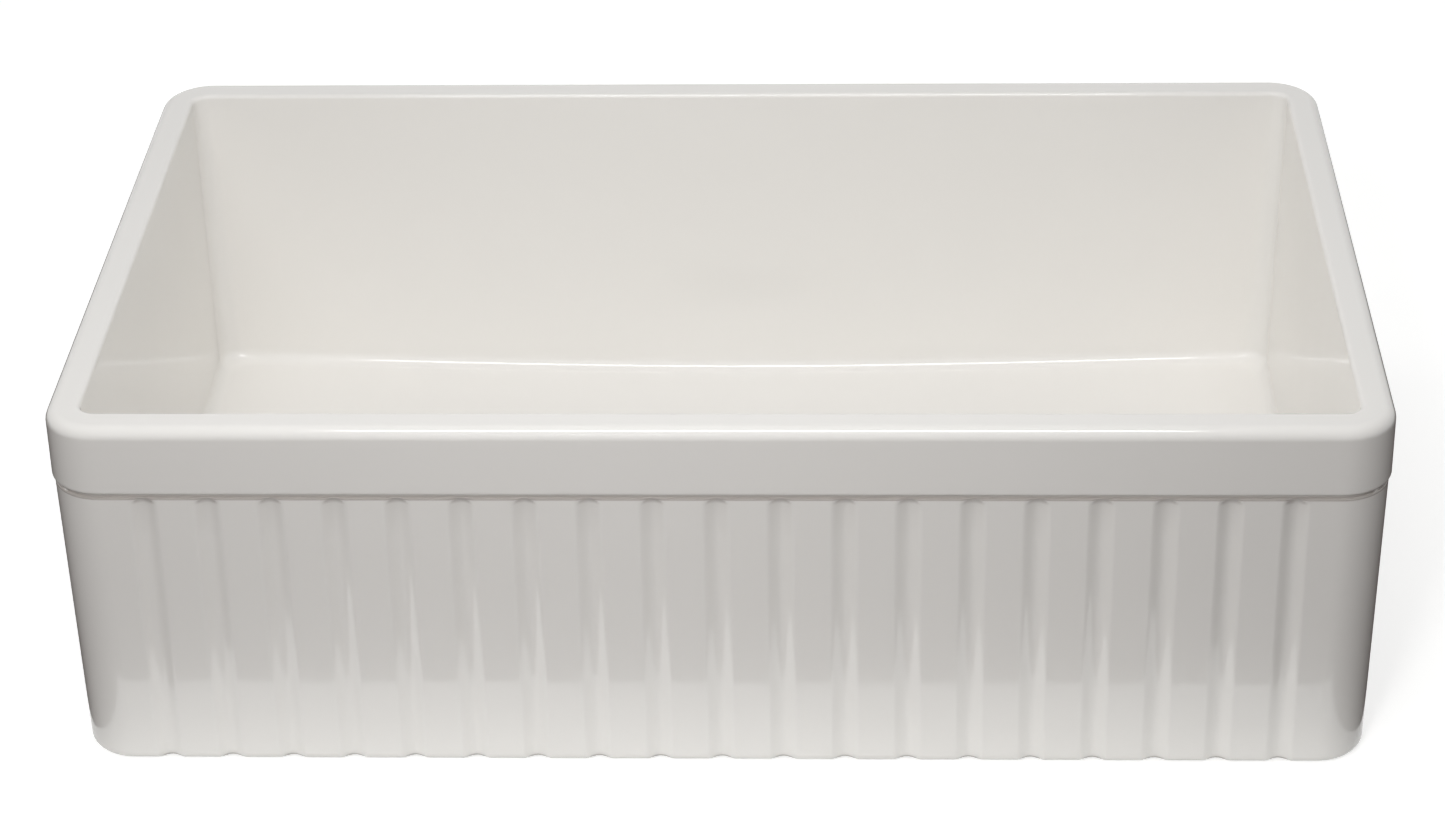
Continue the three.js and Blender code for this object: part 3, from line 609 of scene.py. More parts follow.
def casting_drain_rings(s, turn):
    """From the recess of the flange down the drain hole to the recess in the underside."""
    edge = s.flange_recess
    recess_floor = floor_height(s, edge, 0) - s.flange_recess_depth
    below = s.underside_recess_depth
    hole = s.drain_hole
    profile = outline(
        [
            (edge + RECESS_LIP, floor_height(s, edge + RECESS_LIP, 0)),
            (edge, floor_height(s, edge, 0), 0.0009),
            (edge, recess_floor, 0.0007),
            (hole, recess_floor, 0.001),
            (hole, below, 0.001),
            (s.underside_recess, below, 0.001),
            (s.underside_recess, 0, 0.001),
            (s.underside_recess + 0.002, 0),
        ],
        steps=4,
        closed=False,
    )[1:]
    return [round_ring(radius, turn, height) for radius, height in profile]


def casting_points(s):
    """The whole skin as one grid of rings by columns that closes on itself both ways."""
    columns = CastingColumns(s)
    outside = casting_outside_rings(s, columns)
    bowl, turn = casting_bowl_rings(s, columns)
    drain = casting_drain_rings(s, turn)
    underside = [drain[-1] + (outside[0] - drain[-1]) * share for share in (0.1, 0.3, 0.5, 0.7, 0.9, 0.985)]
    return np.stack([*outside, *bowl, *drain, *underside])


def bend(before, here, after):
    """Curvature vector at the middle of three points: the change of direction over the mean of both steps."""
    back, ahead = before - here, after - here
    back_length = np.linalg.norm(back, axis=-1, keepdims=True)
    ahead_length = np.linalg.norm(ahead, axis=-1, keepdims=True)
    return 2 * (back / back_length + ahead / ahead_length) / (back_length + ahead_length)


def painted_shade_and_glaze_break(s, points, normals):
    """How dark the glaze is drawn at each point, from 0 to 1: partly the glaze breaking thin or pooling, partly painted
    shade.

    It is so where the curvature both ways, along the normal, shows a sharp arris, where the glaze breaks thin, or sharp
    hollows, where glaze pooling and painted shade are drawn together; on the upper edge of the lands and in the groove
    under the band, as painted shade with pooled glaze; in the upper end of each flute, as painted shade; and at the
    foot of each flute, as a painted contact shadow.
    """
    x, y, height = (points[..., axis] for axis in range(3))
    band_bottom = CASTING_HIGH.z - s.band_height
    land_top = band_bottom - s.cove_height
    columns = CastingColumns(s)
    flute = np.where(columns.on_front, columns.flute_form(x, height), 0)
    curve = sum(bend(np.roll(points, 1, axis), points, np.roll(points, -1, axis)) for axis in (0, 1))
    along = (curve * normals).sum(-1)
    outside = CASTING_HIGH.x - np.abs(x) < s.rim_side / 2
    outside |= (CASTING_HIGH.y - y < s.rim_back / 2) | (y - CASTING_LOW.y < s.rim_front / 2)

    def above(low, high):
        return smooth_step(low, high, height)

    # sharp: glaze pooling and painted shade in sharp hollows, and at a quarter of that the glaze breaking thin over
    # sharp arrises
    sharp = np.maximum(smooth_step(300, 900, along), 0.25 * smooth_step(400, 1200, -along))
    # groove: painted shade under the band, over the lands' upper edge and in the groove, drawn with pooled glaze
    groove = above(land_top - 0.6 * MM, land_top) * (1 - above(land_top + 2 * MM, band_bottom))
    # notch: painted shade in the downward-facing upper end of each flute
    notch = 0.9 * above(land_top - 5 * MM, land_top - 0.5 * MM) * smooth_step(0.08, 0.35, flute)
    # foot: a painted contact shadow low on the bottom round of each flute
    foot = smooth_step(0.3, 0.6, flute) * (1 - above(0.42 * s.bottom_round, 0.58 * s.bottom_round))
    # Inside the bowl only a weaker share of the sharp breaks and of the painted shade in hollows is drawn
    return np.where(outside, np.maximum.reduce([sharp, groove, notch, foot]), 0.3 * sharp)


class SINK_OT_casting(bpy.types.Operator):
    """Builds the fireclay casting with its fluted apron, rim, bowl and drain hole"""

    bl_idname = "sink.casting"
    bl_label = "Casting"

    def execute(self, context):
        s = context.scene.sink_casting
        points = casting_points(s)
        faces = grid_faces(*points.shape[:2], join_rings=True)
        made = weld(mesh_object("glazed_casting", points, faces, glaze_material(s)), 0)
        normals = np.empty(points.size, np.float32)
        made.data.vertex_normals.foreach_get("vector", normals)
        # This attribute holds, from 0 to 1, the glaze breaks together with the painted shade and painted contact shadow
        # that darken the glaze
        break_and_shade = made.data.attributes.new("break_and_shade", "FLOAT", "POINT")
        break_and_shade.data.foreach_set("value", painted_shade_and_glaze_break(s, points, normals.reshape(points.shape)).ravel())
        place_piece(made, "sink", "fireclay_glaze", "fireclay_basin")
        return {"FINISHED"}


# ---------------------------------------------------------------- the strainer body and its fastenings


def box_heights(node):
    """Lowest and highest z of a CAD node."""
    low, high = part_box(node)
    return low.z, high.z


def flat_washer(inner, outer, low, high, edge=0.3 * MM):
    """Outline of a flat ring with rounded edges."""
    edge = min(edge, (high - low) * 0.45)
    corners = [(inner, low, edge), (outer, low, edge), (outer, high, edge), (inner, high, edge)]
    return outline(corners, steps=4, hold=0.1 * MM)


class SINK_OT_seals(bpy.types.Operator):
    """Builds the sealant bed, the gasket, the friction ring and the outlet's washer"""

    bl_idname = "sink.seals"
    bl_label = "Seals"

    def execute(self, context):
        s = context.scene.sink_waste
        rings = (
            ("drain_sealant_ring", "sealant", s.ring_inner, s.ring_outer, sealant_material(s)),
            ("sink_gasket", "black_rubber", s.ring_inner, s.ring_outer, rubber_material(s, "gasket_rubber")),
            ("friction_ring", "fibre", s.ring_inner, s.ring_outer, fibre_material(s)),
            ("tailpiece_washer", "white_nylon", s.neck_bore, s.neck_radius, nylon_material(s, "washer_nylon")),
        )
        for node, slot, inner, outer, material in rings:
            profile = flat_washer(inner, outer, *box_heights(node), edge=0.6 * MM)
            turned_piece("look_" + node, profile, material, "sink", slot, node)
        return {"FINISHED"}


def strainer_profile(s, underside):
    """Outline of the cup: flange, mouth, ledge, lower cup, cone, seat, neck and outside."""
    bottom = s.seat_depth + s.cup_wall
    corners = [
        (s.cup_outer, 0, 0.0008),
        (s.flange_radius, 0, 0.0003),
        (s.flange_radius, -s.flange_thickness, 0.0008),
        (s.cup_radius, s.flange_dish - s.flange_thickness, s.cup_mouth_round),
        (s.cup_radius, s.ledge_depth, 0.0005),
        (s.lower_cup, s.ledge_depth, 0.0007),
        (s.lower_cup, s.cone_top, 0.003),
        (s.seat_radius, s.seat_depth, 0.0015),
        (s.neck_bore, s.seat_depth, 0.0014),
        (s.neck_bore, s.neck_end, 0.0003),
        (s.neck_radius, s.neck_end, 0.0005),
        (s.neck_radius, bottom, 0.0008),
        (s.seat_radius + s.cup_wall, bottom, 0.0025),
        (s.cup_outer, s.thread_end, 0.001),
    ]
    return outline([(radius, underside - depth, edge) for radius, depth, edge in corners], hold=0.2 * MM)


class SINK_OT_strainer(bpy.types.Operator):
    """Builds the strainer body with its two threads and the crossed bars in its neck"""

    bl_idname = "sink.strainer"
    bl_label = "Strainer Body"

    def execute(self, context):
        s = context.scene.sink_waste
        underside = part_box("strainer_body")[1].z - s.flange_thickness
        profile = dense(strainer_profile(s, underside), s.cup_outer, THREAD_STEP)
        profile = dense(profile, s.neck_radius, THREAD_STEP)
        cup_low, cup_high = underside - s.thread_end, underside - 3 * MM
        neck_low, neck_high = underside - s.neck_end, underside - s.seat_depth - 4 * MM

        def threads(points):
            cut = threaded(points, s.cup_outer, cup_low, cup_high, s.thread_pitch, s.thread_depth)
            return threaded(cut, s.neck_radius, neck_low, neck_high, s.thread_pitch, s.thread_depth)

        bar_length = s.neck_bore + s.neck_radius - MM
        middle = underside - s.bar_depth - s.bar_height / 2
        turns = (s.strainer_turn, s.strainer_turn + QUARTER)
        bars = [rod(bar_length, s.bar_width, s.bar_height, turn, middle) for turn in turns]
        shells = [turned(profile, shape=threads), *bars]
        made = solid("steel_strainer_body", shells, steel_material(s, "strainer_steel"))
        place_piece(made, "sink", "stainless_steel", "strainer_body")
        return {"FINISHED"}


def lugged_nut(node, corners, fine, lugs, material):
    """Builds a lugged nut. fine lists the radius and the step of the stretches that need more points."""
    profile = outline(corners, steps=4)
    for radius, step in fine:
        profile = dense(profile, radius, step)
    shape = partial(with_lugs, **lugs)
    turned_piece("zinc_" + node, profile, material, "sink", "cast_zinc", node, columns=NUT_COLUMNS, shape=shape)


class SINK_OT_nuts(bpy.types.Operator):
    """Builds the lugged locknut and slip nut"""

    bl_idname = "sink.nuts"
    bl_label = "Nuts"

    def execute(self, context):
        zinc = zinc_material(context.scene.sink_waste)
        low, high = box_heights("locknut")
        bore, body, flange, flange_low = 0.0429, 0.051, 0.055, high - 3 * MM
        corners = [
            (bore, high, 0.0006),
            (flange, high, 0.0006),
            (flange, flange_low, 0.0006),
            (body, flange_low, 0.0008),
            (body, low, 0.0007),
            (bore, low, 0.0006),
        ]
        lugs = dict(inside=bore + 6 * MM, reach=0.057, width=0.012, lugs=6, low=low + GAP, high=high - 1.2 * MM)
        lugged_nut("locknut", corners, [(body, 0.6 * MM), (flange, 0.3 * MM)], lugs, zinc)

        low, high = box_heights("slip_nut")
        bore, body, hole, lip = 0.0238, 0.028, 0.01935, low + 3.6 * MM
        corners = [
            (bore, high, 0.0005),
            (body, high, 0.0008),
            (body, low, 0.0008),
            (hole, low, 0.0005),
            (hole, lip, 0.0004),
            (bore, lip, 0.0005),
        ]
        lugs = dict(inside=bore + 3 * MM, reach=0.0305, width=0.006, lugs=8, low=low + GAP, high=high - GAP)
        lugged_nut("slip_nut", corners, [(body, 0.6 * MM)], lugs, zinc)
        return {"FINISHED"}


class SINK_OT_tailpiece(bpy.types.Operator):
    """Builds the flanged brass tube"""

    bl_idname = "sink.tailpiece"
    bl_label = "Tailpiece"

    def execute(self, context):
        s = context.scene.sink_waste
        low, high = box_heights("tailpiece")
        tube, flange, flange_low = 0.01905, 0.0228, high - 1.8 * MM
        bore = tube - s.tailpiece_wall
        corners = [
            (bore, high, 0.0006),
            (flange, high, 0.0004),
            (flange, flange_low, 0.0004),
            (tube, flange_low, 0.0008),
            (tube, low, 0.0004),
            (bore, low, 0.0004),
        ]
        profile = outline(corners, hold=0.2 * MM)
        turned_piece("brass_tailpiece", profile, brass_material(s), "sink", "brass", "tailpiece")
        return {"FINISHED"}


# ---------------------------------------------------------------- the basket


def basket_shells(s, ledge):
    """The basket's sheet, as its middle surface: lip, slotted wall, corner and slotted floor."""
    half = s.sheet / 2
    rim, top_radius, bottom_radius = 0.0393 - half, 0.0368 - half, 0.0335 - half
    rim_high, corner_round = ledge + 0.85 * MM, 3 * MM
    floor_outer, floor_inner, hub_outer, hub_inner = 0.029, 0.0095, 0.0082, 0.0064
    floor_slot = (0.012, 0.027)
    depth = BASKET_DEPTH - half
    floor, middle = ledge - depth, ledge - s.slot_middle
    lean = (top_radius - bottom_radius) / (depth - corner_round)
    slot_half = s.slot_height / 2
    wall_high, wall_low = middle + slot_half + 2.2 * MM, middle - slot_half - 2.2 * MM

    def wall_radius(height):
        return top_radius - (ledge - height) * lean

    lip = [(rim, ledge - 0.1 * MM), (rim, rim_high, 0.0005), (top_radius, rim_high, 0.0011)]
    lip = outline([*lip, (wall_radius(wall_high), wall_high)], closed=False)
    corner = [(wall_radius(wall_low), wall_low), (wall_radius(floor), floor, corner_round - half), (floor_outer, floor)]
    corner = outline(corner, steps=8, closed=False)
    ring = np.array([[floor_inner, floor], [hub_outer, floor], [hub_inner, floor]])
    shells = []
    for profile in (lip, corner, ring):
        shells.append((turned_points(profile, BASKET_COLUMNS), grid_faces(len(profile), BASKET_COLUMNS)))

    # the wall's slots: across is the arc at the mid radius, along is the height
    mid_radius = wall_radius(middle)
    share = np.pi / s.wall_slots
    cell, faces = slotted_cell(
        (BASKET_COLUMNS // s.wall_slots, SLOT_STEPS),
        ((-share, wall_low), (share, wall_high)),
        (middle - slot_half, middle + slot_half, s.slot_width / 2),
        lambda angle, height: (angle * mid_radius, height),
    )
    height = cell[..., 1]
    radius = wall_radius(height)
    for turn in (2 * np.arange(s.wall_slots) + 1) * share:
        angle = cell[..., 0] / mid_radius + turn
        shells.append((round_ring(radius, angle, height), faces))

    # the floor's slots: across and along are flat, along pointing away from the axis
    share = np.pi / s.floor_slots
    cell, faces = slotted_cell(
        (BASKET_COLUMNS // s.floor_slots, SLOT_STEPS),
        ((-share, floor_inner), (share, floor_outer)),
        (*floor_slot, s.slot_width / 2),
        lambda angle, radius: (radius * np.sin(angle), radius * np.cos(angle)),
    )
    across, along = cell[..., 0], cell[..., 1]
    for turn in (2 * np.arange(s.floor_slots) + 1) * share:
        shells.append((flat_ring(*turn_plan(along, across, turn), floor), faces))
    return [(points.reshape(-1, 3), faces) for points, faces in shells]


class SINK_OT_basket(bpy.types.Operator):
    """Builds the slotted lift-out basket, its hub and the hub's bush"""

    bl_idname = "sink.basket"
    bl_label = "Basket"

    def execute(self, context):
        s = context.scene.sink_waste
        steel = steel_material(s, "basket_steel")
        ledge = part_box("basket")[1].z - 0.0015
        made = solid("steel_basket", basket_shells(s, ledge), steel)
        thicken = made.modifiers.new("sheet", "SOLIDIFY")
        thicken.thickness = s.sheet
        thicken.offset = 0
        place_piece(made, "strainer_basket", "stainless_steel", "basket")

        bore, radius, hub_top, floor = 0.0049, 0.007, ledge - 0.011, ledge - BASKET_DEPTH
        corners = [(bore, floor, 0.0003), (radius, floor, 0.0003), (radius, hub_top, 0.0007), (bore, hub_top, 0.0005)]
        profile = outline(corners, hold=0.1 * MM)
        placing = ("strainer_basket", "stainless_steel", "basket")
        turned_piece("steel_basket_hub", profile, steel, *placing, columns=POST_COLUMNS)

        bore, radius = 0.00385, 0.0046
        profile = flat_washer(bore, radius, *box_heights("post_bush"), edge=0.2 * MM)
        placing = ("strainer_basket", "white_nylon", "post_bush")
        turned_piece("nylon_post_bush", profile, nylon_material(s, "bush_nylon"), *placing, columns=POST_COLUMNS)
        return {"FINISHED"}


# ---------------------------------------------------------------- the post, its knob and the stopper


def hexagon(points, radius):
    """Cuts a turned blank to a hexagon: the smaller of its own radius and the hexagon's at each angle."""
    own, angle = polar(points)
    off = (angle + np.pi / 6) % (np.pi / 3) - np.pi / 6
    side = radius * np.cos(np.pi / 6) / np.cos(off)
    return round_ring(np.where(own > radius / 2, np.minimum(own, side), own), angle, points[..., 2])


class SINK_OT_stopper(bpy.types.Operator):
    """Builds the post with its knob, and the stopper with its washer and nut"""

    bl_idname = "sink.stopper"
    bl_label = "Stopper"

    def execute(self, context):
        s = context.scene.sink_waste
        steel = steel_material(s, "post_steel")
        stud, post, hole, washer = 0.0025, 0.0035, 0.0028, 0.020

        def add(name, profile, material, slot, node, **options):
            turned_piece(name, profile, material, "stopper_post", slot, node, **options)

        low, high = box_heights("centre_post")
        shoulder = high - 0.031
        corners = [
            (0, low),
            (stud, low, 0.0004),
            (stud, shoulder, 0.0003),
            (post, shoulder, 0.0003),
            (post, high, 0.0005),
            (0, high),
        ]
        profile = outline(corners, closed=False, hold=0.1 * MM)
        add("steel_centre_post", profile, steel, "stainless_steel", "centre_post", columns=POST_COLUMNS)

        low, high = box_heights("lift_knob")
        socket, socket_high, neck, radius = post + GAP, low + 8 * MM, 0.006, 0.011
        corners = [
            (0, socket_high),
            (socket, socket_high, 0.0003),
            (socket, low, 0.0004),
            (neck, low, 0.0007),
            (neck - 0.0005, low + 0.0042, 0.0025),
            (radius, low + 0.0052, 0.0012),
            (radius, high - 0.0028, 0.0015),
            (radius - 0.0045, high - 0.0003, 0.006),
            (0, high),
        ]
        profile = outline(corners, steps=8, closed=False, hold=0.1 * MM)
        add("chrome_lift_knob", profile, chrome_material(s), "polished_chrome", "lift_knob")

        profile = flat_washer(hole, washer, *box_heights("stopper_washer"))
        add("steel_stopper_washer", profile, steel, "stainless_steel", "stopper_washer")

        low, high = box_heights("stopper")
        radius = 0.024
        corners = [(hole, low, 0.0003), (radius, low, 0.0015), (radius, high, 0.0005), (hole, high, 0.0003)]
        rubber = rubber_material(s, "stopper_rubber")
        add("rubber_stopper", outline(corners, hold=0.2 * MM), rubber, "black_rubber", "stopper")

        low, high = box_heights("stopper_nut")
        radius, chamfer = 0.0069, 0.0006
        corners = [
            (hole, low, 0.0003),
            (radius - MM, low, 0.0001),
            (radius, low + chamfer, 0.0001),
            (radius, high - chamfer, 0.0001),
            (radius - MM, high, 0.0001),
            (hole, high, 0.0003),
        ]
        profile = outline(corners, steps=3, hold=0.1 * MM)
        shape = partial(hexagon, radius=radius)
        add("steel_stopper_nut", profile, steel, "stainless_steel", "stopper_nut", shape=shape)
        return {"FINISHED"}


# ---------------------------------------------------------------- materials


class Shade:
    """A node's output that can stand in sums and products, which add the Math nodes they need."""

    def __init__(self, graph, socket):
        self.graph, self.socket = graph, socket

    def math(self, operation, other):
        return self.graph.node("ShaderNodeMath", {"operation": operation}, {0: self, 1: other})

    def __add__(self, other):
        return self.math("ADD", other)

    def __mul__(self, other):
        return self.math("MULTIPLY", other)

    __radd__, __rmul__ = __add__, __mul__

    def largest(self, other):
        return self.math("MAXIMUM", other)


class Graph:
    """The node tree of a new material or world, under construction."""

    def __init__(self, owner):
        owner.use_nodes = True
        self.owner, self.tree = owner, owner.node_tree
        self.tree.nodes.clear()

    def node(self, kind, settings=None, values=None, output=0):
        """Adds a node, sets it up, gives its sockets their values or links, and returns one output."""
        made = self.tree.nodes.new(kind)
        for name, value in (settings or {}).items():
            setattr(made, name, value)
        for name, value in (values or {}).items():
            if isinstance(value, Shade):
                self.tree.links.new(value.socket, made.inputs[name])
            else:
                made.inputs[name].default_value = value
        return Shade(self, made.outputs[output]) if made.outputs else None

    def place(self):
        """The object's own coordinates, in metres."""
        return self.node("ShaderNodeTexCoord", output="Object")

    def noise(self, scale, detail=2.0, place=None):
        """Noise between about 0 and 1 at a place or the object's own coordinates, scale in waves per metre."""
        return self.node("ShaderNodeTexNoise", {}, {"Vector": place or self.place(), "Scale": scale, "Detail": detail})

    def between(self, low, high, share):
        """Two colours mixed by a share. Each is red, green and blue or another node's output."""
        low, high = (end if isinstance(end, Shade) else (*end, 1) for end in (low, high))
        return self.node("ShaderNodeMix", {"data_type": "RGBA"}, {0: share, 6: low, 7: high}, output=2)

    def bump(self, height, distance, **values):
        """A normal from a height between 0 and 1 that stands for a distance in metres."""
        return self.node("ShaderNodeBump", {}, {"Height": height, "Distance": distance, **values})

    def one_sided(self, shader):
        """Closes a material whose surface is a shader seen from above, and clear seen from below."""
        clear = self.node("ShaderNodeBsdfTransparent")
        below = self.node("ShaderNodeNewGeometry", output="Backfacing")
        return self.close(self.node("ShaderNodeMixShader", {}, {0: below, 1: shader, 2: clear}))

    def surface(self, base, roughness, **values):
        """Closes a material of the principled shader, with values for its other sockets."""
        shader = self.node("ShaderNodeBsdfPrincipled", {}, {"Base Color": base, "Roughness": roughness, **values})
        return self.close(shader)

    def close(self, shader, kind="Material"):
        """Makes a shader the tree's surface and returns the finished material or world."""
        self.node("ShaderNodeOutput" + kind, {}, {"Surface": shader})
        return self.owner


def material_graph(name):
    """The empty graph of a new material."""
    return Graph(bpy.data.materials.new(name))


def glaze_material(s):
    """Glossy fireclay glaze: two close whites in slow drifts, a dark brown for glaze breaks and painted shade, a slight
    waviness and a fine orange peel.
    """
    graph = material_graph("fireclay_glaze")
    drift, wave, peel = graph.noise(5), graph.noise(14, 1), graph.noise(420)
    break_and_shade = graph.node("ShaderNodeAttribute", {"attribute_name": "break_and_shade"}, output="Fac")
    clean = graph.between(s.glaze, s.glaze_shade, drift)
    # Painted shade: the attribute darkens the glaze towards brown where the glaze breaks or pools, and as painted shade
    # and a painted contact shadow
    base = graph.between(clean, s.broken_glaze_and_shade, 0.75 * break_and_shade)
    normal = graph.bump(peel, 0.0000035, Normal=graph.bump(wave, 0.00008))
    return graph.surface(base, 0.07 + 0.03 * drift, Normal=normal, IOR=1.53)


def turned_marks(graph, scale):
    """Noise in fine rings round the Z axis, from the radius and the height of the object's own coordinates."""
    place = graph.place()
    flat = graph.node("ShaderNodeVectorMath", {"operation": "MULTIPLY"}, {0: place, 1: (1, 1, 0)})
    radius = graph.node("ShaderNodeVectorMath", {"operation": "LENGTH"}, {0: flat}, output="Value")
    height = graph.node("ShaderNodeSeparateXYZ", {}, {0: place}, output="Z")
    return graph.noise(scale, 3, graph.node("ShaderNodeCombineXYZ", {}, {"X": radius, "Z": height}))


def steel_material(s, name):
    """Turned stainless steel: fine rings in the roughness and the normal, and a faint cloud of water marks."""
    graph = material_graph(name)
    marks, cloud = turned_marks(graph, 2600), graph.noise(70)
    base = graph.between(s.steel, 0.88 * s.steel, cloud)
    return graph.surface(base, 0.16 + 0.10 * marks + 0.06 * cloud, Metallic=1, Normal=graph.bump(marks, 0.000004))


def chrome_material(s):
    """Polished chrome with a faint haze of fingerprints."""
    graph = material_graph("knob_chrome")
    haze = graph.noise(180, 3)
    return graph.surface(graph.between(s.chrome, 0.93 * s.chrome, haze), 0.03 + 0.08 * haze, Metallic=1)


def zinc_material(s):
    """Dull cast zinc: a grainy skin with lighter and darker patches."""
    graph = material_graph("nut_zinc")
    grain, patch = graph.noise(1500, 3), graph.noise(90)
    base = graph.between(s.zinc, 0.7 * s.zinc, patch)
    return graph.surface(base, 0.38 + 0.2 * patch, Metallic=0.9, Normal=graph.bump(grain, 0.00004))


def brass_material(s):
    """Drawn brass with drifts of tarnish and fine drawing marks."""
    graph = material_graph("tailpiece_brass")
    marks, tarnish = turned_marks(graph, 1800), graph.noise(45, 4)
    base = graph.between(s.brass, s.brass_dull, tarnish)
    return graph.surface(base, 0.18 + 0.2 * tarnish, Metallic=1, Normal=graph.bump(marks, 0.000004))


def rubber_material(s, name):
    """Matt black rubber with a fine moulded grain and traces of dust."""
    graph = material_graph(name)
    grain, dust = graph.noise(2200), graph.noise(120, 3)
    base = graph.between(s.rubber, [c + 0.03 for c in s.rubber], dust)
    return graph.surface(base, 0.5 + 0.2 * dust, Normal=graph.bump(grain, 0.00002))


def sealant_material(s):
    """Soft off-white sealant, slightly uneven."""
    graph = material_graph("bed_sealant")
    lumps = graph.noise(160)
    base = graph.between(s.sealant, 0.9 * s.sealant, lumps)
    return graph.surface(base, 0.35 + 0.1 * lumps, Normal=graph.bump(lumps, 0.0004))


def fibre_material(s):
    """Red vulcanised fibre with short flecks."""
    graph = material_graph("red_fibre")
    flecks = graph.noise(600, 4, graph.node("ShaderNodeMapping", {}, {"Vector": graph.place(), "Scale": (1, 3, 1)}))
    base = graph.between(s.fibre, 1.4 * s.fibre, flecks)
    return graph.surface(base, 0.6 + 0.15 * flecks, Normal=graph.bump(flecks, 0.00003))


def nylon_material(s, name):
    """White nylon with a faint moulding cloud."""
    graph = material_graph(name)
    cloud, grain = graph.noise(110), graph.noise(1700)
    base = graph.between(s.nylon, 0.93 * s.nylon, cloud)
    return graph.surface(base, 0.34 + 0.1 * cloud, Normal=graph.bump(grain, 0.00001))


# ---------------------------------------------------------------- the stage


def camera_turn(s):
    """Rotation of a camera that looks along yaw and pitch, with its picture turned by roll."""
    yaw, pitch, roll = -s.camera_yaw, s.camera_pitch, -s.camera_roll
    ahead = Vector((np.sin(yaw) * np.cos(pitch), np.cos(yaw) * np.cos(pitch), -np.sin(pitch)))
    level = Vector((np.cos(yaw), -np.sin(yaw), 0))
    upright = level.cross(ahead)
    right = np.cos(roll) * level + np.sin(roll) * upright
    up = -np.sin(roll) * level + np.cos(roll) * upright
    return Matrix((right, up, -ahead)).transposed()


def add_lamp(name, place, aim, size, power, beam=180, mirrored=False):
    """A rectangular softbox at a place, turned towards an aim, that throws its light within a beam in degrees.

    One that isn't mirrored lights the glaze without showing in its gloss.
    """
    lamp = bpy.data.lights.new(name, "AREA")
    lamp.spread = np.radians(beam)
    lamp.shape = "RECTANGLE"
    lamp.size, lamp.size_y = size
    lamp.energy = power
    made = bpy.data.objects.new(name, lamp)
    made.location = place
    made.rotation_euler = (Vector(aim) - Vector(place)).to_track_quat("-Z", "Y").to_euler()
    made.visible_camera = False
    made.visible_glossy = mirrored
    bpy.context.scene.collection.objects.link(made)
    return made


def seen_rays(graph):
    """1 for rays from the camera and for reflected and transmitted rays, and 0 for diffuse light."""
    kinds = ("Is Camera Ray", "Is Glossy Ray", "Is Transmission Ray")
    camera, glossy, transmission = (graph.node("ShaderNodeLightPath", output=kind) for kind in kinds)
    return camera.largest(glossy).largest(transmission)


def floor_material(s):
    """Pale matt floor that keeps the shadow and shows as white where it is lit."""
    graph = material_graph("stage_floor")
    seen = seen_rays(graph)
    matt = graph.node("ShaderNodeBsdfDiffuse", {}, {"Color": (*s.floor_colour, 1)})
    glow = graph.node("ShaderNodeEmission", {}, {"Color": (1, 1, 1, 1), "Strength": s.floor_glow * seen})
    return graph.one_sided(graph.node("ShaderNodeAddShader", {}, {0: matt, 1: glow}))


def add_floor(s):
    """A flat floor at the underside, with an opening under the sink that the waste hangs through."""
    size, opening = 8.0, 0.12
    corners = np.array([[-1, -1], [1, -1], [1, 1], [-1, 1]])
    points = np.vstack([corners * size, corners * opening])
    points = np.column_stack([points, np.full(8, FLOOR_LEVEL)])
    faces = [[i, (i + 1) % 4, 4 + (i + 1) % 4, 4 + i] for i in range(4)]
    made = mesh_object("floor", points, faces, floor_material(s))


def add_cards(s):
    """Dark cards lying beside and in front of the sink, out of the camera's sight, that keep its edges dark."""
    graph = material_graph("dark_card")
    material = graph.one_sided(graph.node("ShaderNodeBsdfDiffuse", {}, {"Color": (*s.card_colour, 1)}))
    far, front, back = 1.4, -1.3, 0.9
    beside = CASTING_HIGH.x + s.card_gap
    ahead = CASTING_LOW.y - s.card_front_gap
    flats = {
        "card_left": (-far, -beside, ahead, back),
        "card_right": (beside, far, ahead, back),
        "card_front": (-far, far, front, ahead),
    }
    for name, (left, right, low, high) in flats.items():
        points = [(x, y, CARD_LEVEL) for x, y in ((left, low), (right, low), (right, high), (left, high))]
        made = mesh_object(name, points, [(0, 1, 2, 3)], material)
        made.visible_camera = False
        made.visible_shadow = False


def set_world(s):
    """White where it is seen or reflected, and a soft even light for the rest."""
    graph = Graph(bpy.data.worlds.new("studio"))
    strength = s.ambient + (1 - s.ambient) * seen_rays(graph)
    light = graph.node("ShaderNodeBackground", {}, {"Color": (1, 1, 1, 1), "Strength": strength})
    bpy.context.scene.world = graph.close(light, "World")


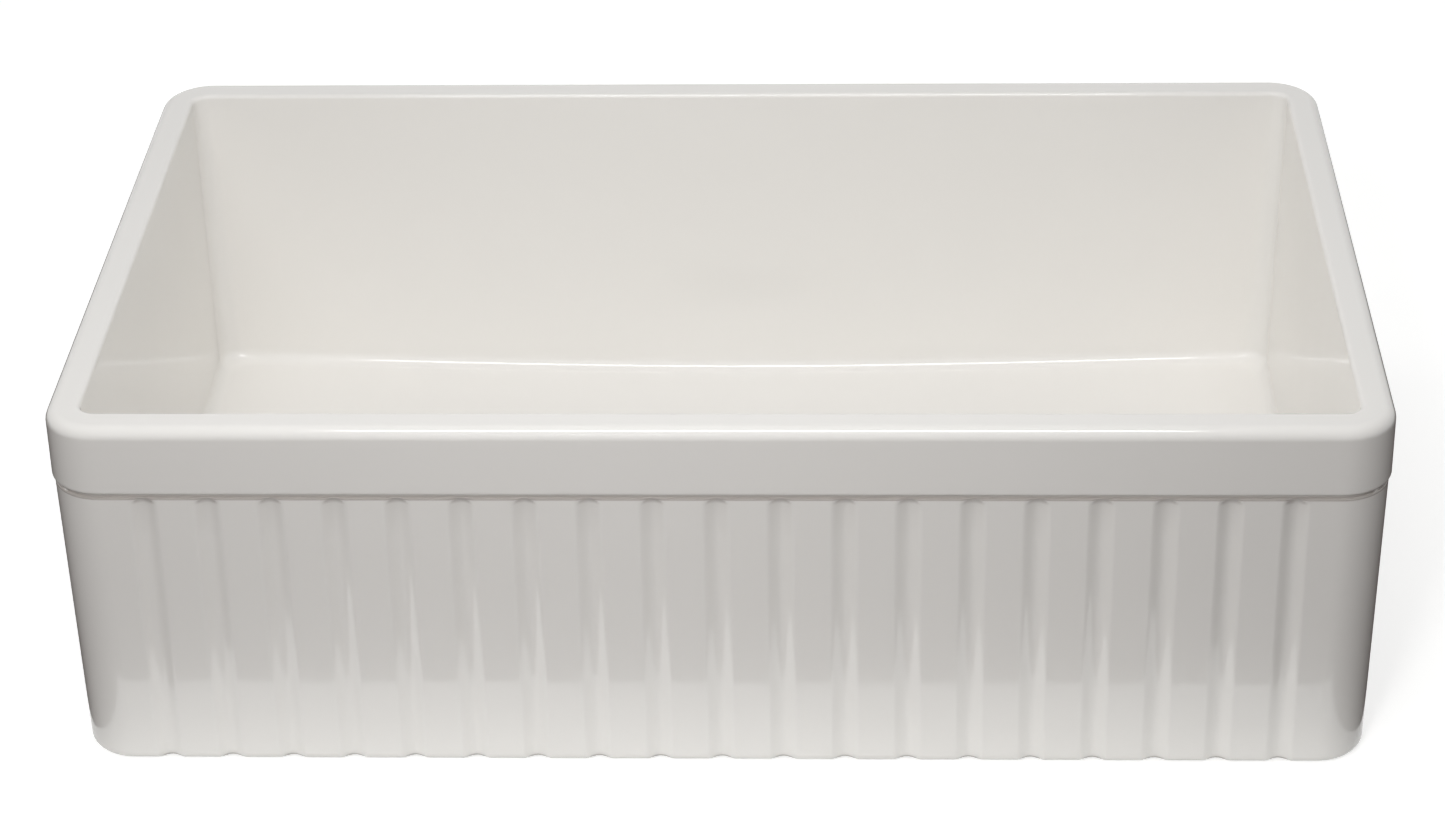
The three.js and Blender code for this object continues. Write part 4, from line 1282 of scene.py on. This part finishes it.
class SINK_OT_stage(bpy.types.Operator):
    """Adds the floor, the lights and the camera"""

    bl_idname = "sink.stage"
    bl_label = "Stage"

    def execute(self, context):
        s = context.scene.sink_stage
        camera = bpy.data.cameras.new("camera")
        camera.lens = s.camera_lens
        camera.sensor_width = 36
        view = bpy.data.objects.new("camera", camera)
        view.matrix_world = Matrix.Translation(s.camera_place) @ camera_turn(s).to_4x4()
        context.scene.collection.objects.link(view)
        context.scene.camera = view
        context.scene.view_settings.view_transform = "Standard"
        add_lamp("top_light", (0, 0.1, 2.0), (0, 0, 0.2), (1.8, 0.5), s.top_power)
        add_lamp("key_light", (0, -0.85, 1.95), (0, 0.1, 0.1), (0.95, 0.35), s.key_power)
        place, aim = (-0.02, -0.85, 1.94), (-0.02, 0.1, 0.1)
        strip = add_lamp("strip_light", place, aim, (0.95, 0.3), s.strip_power, mirrored=True)
        strip.visible_diffuse = False
        add_lamp("front_light", (-0.5, -1.7, 1.3), (0, 0, 0.15), (0.8, 0.6), s.front_power)
        add_lamp("spot_light", (-0.2, -1.7, 1.3), (0, 0, 0.15), (0.3, 0.4), s.spot_power, beam=70)
        add_lamp("back_light", (0, 2.0, 0.45), (0, 0.25, 0.15), (1.6, 0.3), s.back_power)
        ahead = CASTING_LOW.y - s.card_front_gap / 2
        size = (2 * CASTING_HIGH.x, s.card_front_gap)
        add_lamp("glow", (0, ahead, 0.001), (0, ahead, 1), size, s.glow_power, mirrored=True)
        add_floor(s)
        add_cards(s)
        set_world(s)
        return {"FINISHED"}


# ---------------------------------------------------------------- panel and registration


OPERATORS = (
    SINK_OT_casting,
    SINK_OT_seals,
    SINK_OT_strainer,
    SINK_OT_nuts,
    SINK_OT_tailpiece,
    SINK_OT_basket,
    SINK_OT_stopper,
    SINK_OT_stage,
)
SETTINGS = {
    "sink_casting": SinkCastingSettings,
    "sink_waste": SinkWasteSettings,
    "sink_stage": SinkStageSettings,
}


class SINK_PT_panel(bpy.types.Panel):
    """Lists the sink's operators and settings"""

    bl_idname = "SINK_PT_panel"
    bl_label = "Apron Front Sink"
    bl_space_type = "VIEW_3D"
    bl_region_type = "UI"
    bl_category = "Sink"

    def draw(self, context):
        for operator in OPERATORS:
            self.layout.operator(operator.bl_idname)
        for name in SETTINGS:
            settings = getattr(context.scene, name)
            box = self.layout.box()
            for prop in settings.bl_rna.properties:
                if not prop.is_readonly and prop.identifier != "name":
                    box.prop(settings, prop.identifier)


def register():
    for cls in (*SETTINGS.values(), *OPERATORS, SINK_PT_panel):
        bpy.utils.register_class(cls)
    for name, cls in SETTINGS.items():
        setattr(bpy.types.Scene, name, PointerProperty(type=cls))


def unregister():
    for name in SETTINGS:
        delattr(bpy.types.Scene, name)
    for cls in reversed((*SETTINGS.values(), *OPERATORS, SINK_PT_panel)):
        bpy.utils.unregister_class(cls)


def main():
    """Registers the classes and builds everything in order."""
    register()
    bpy.ops.sink.stage()
    bpy.ops.sink.casting()
    bpy.ops.sink.seals()
    bpy.ops.sink.strainer()
    bpy.ops.sink.nuts()
    bpy.ops.sink.tailpiece()
    bpy.ops.sink.basket()
    bpy.ops.sink.stopper()


if __name__ == "__main__":
    main()
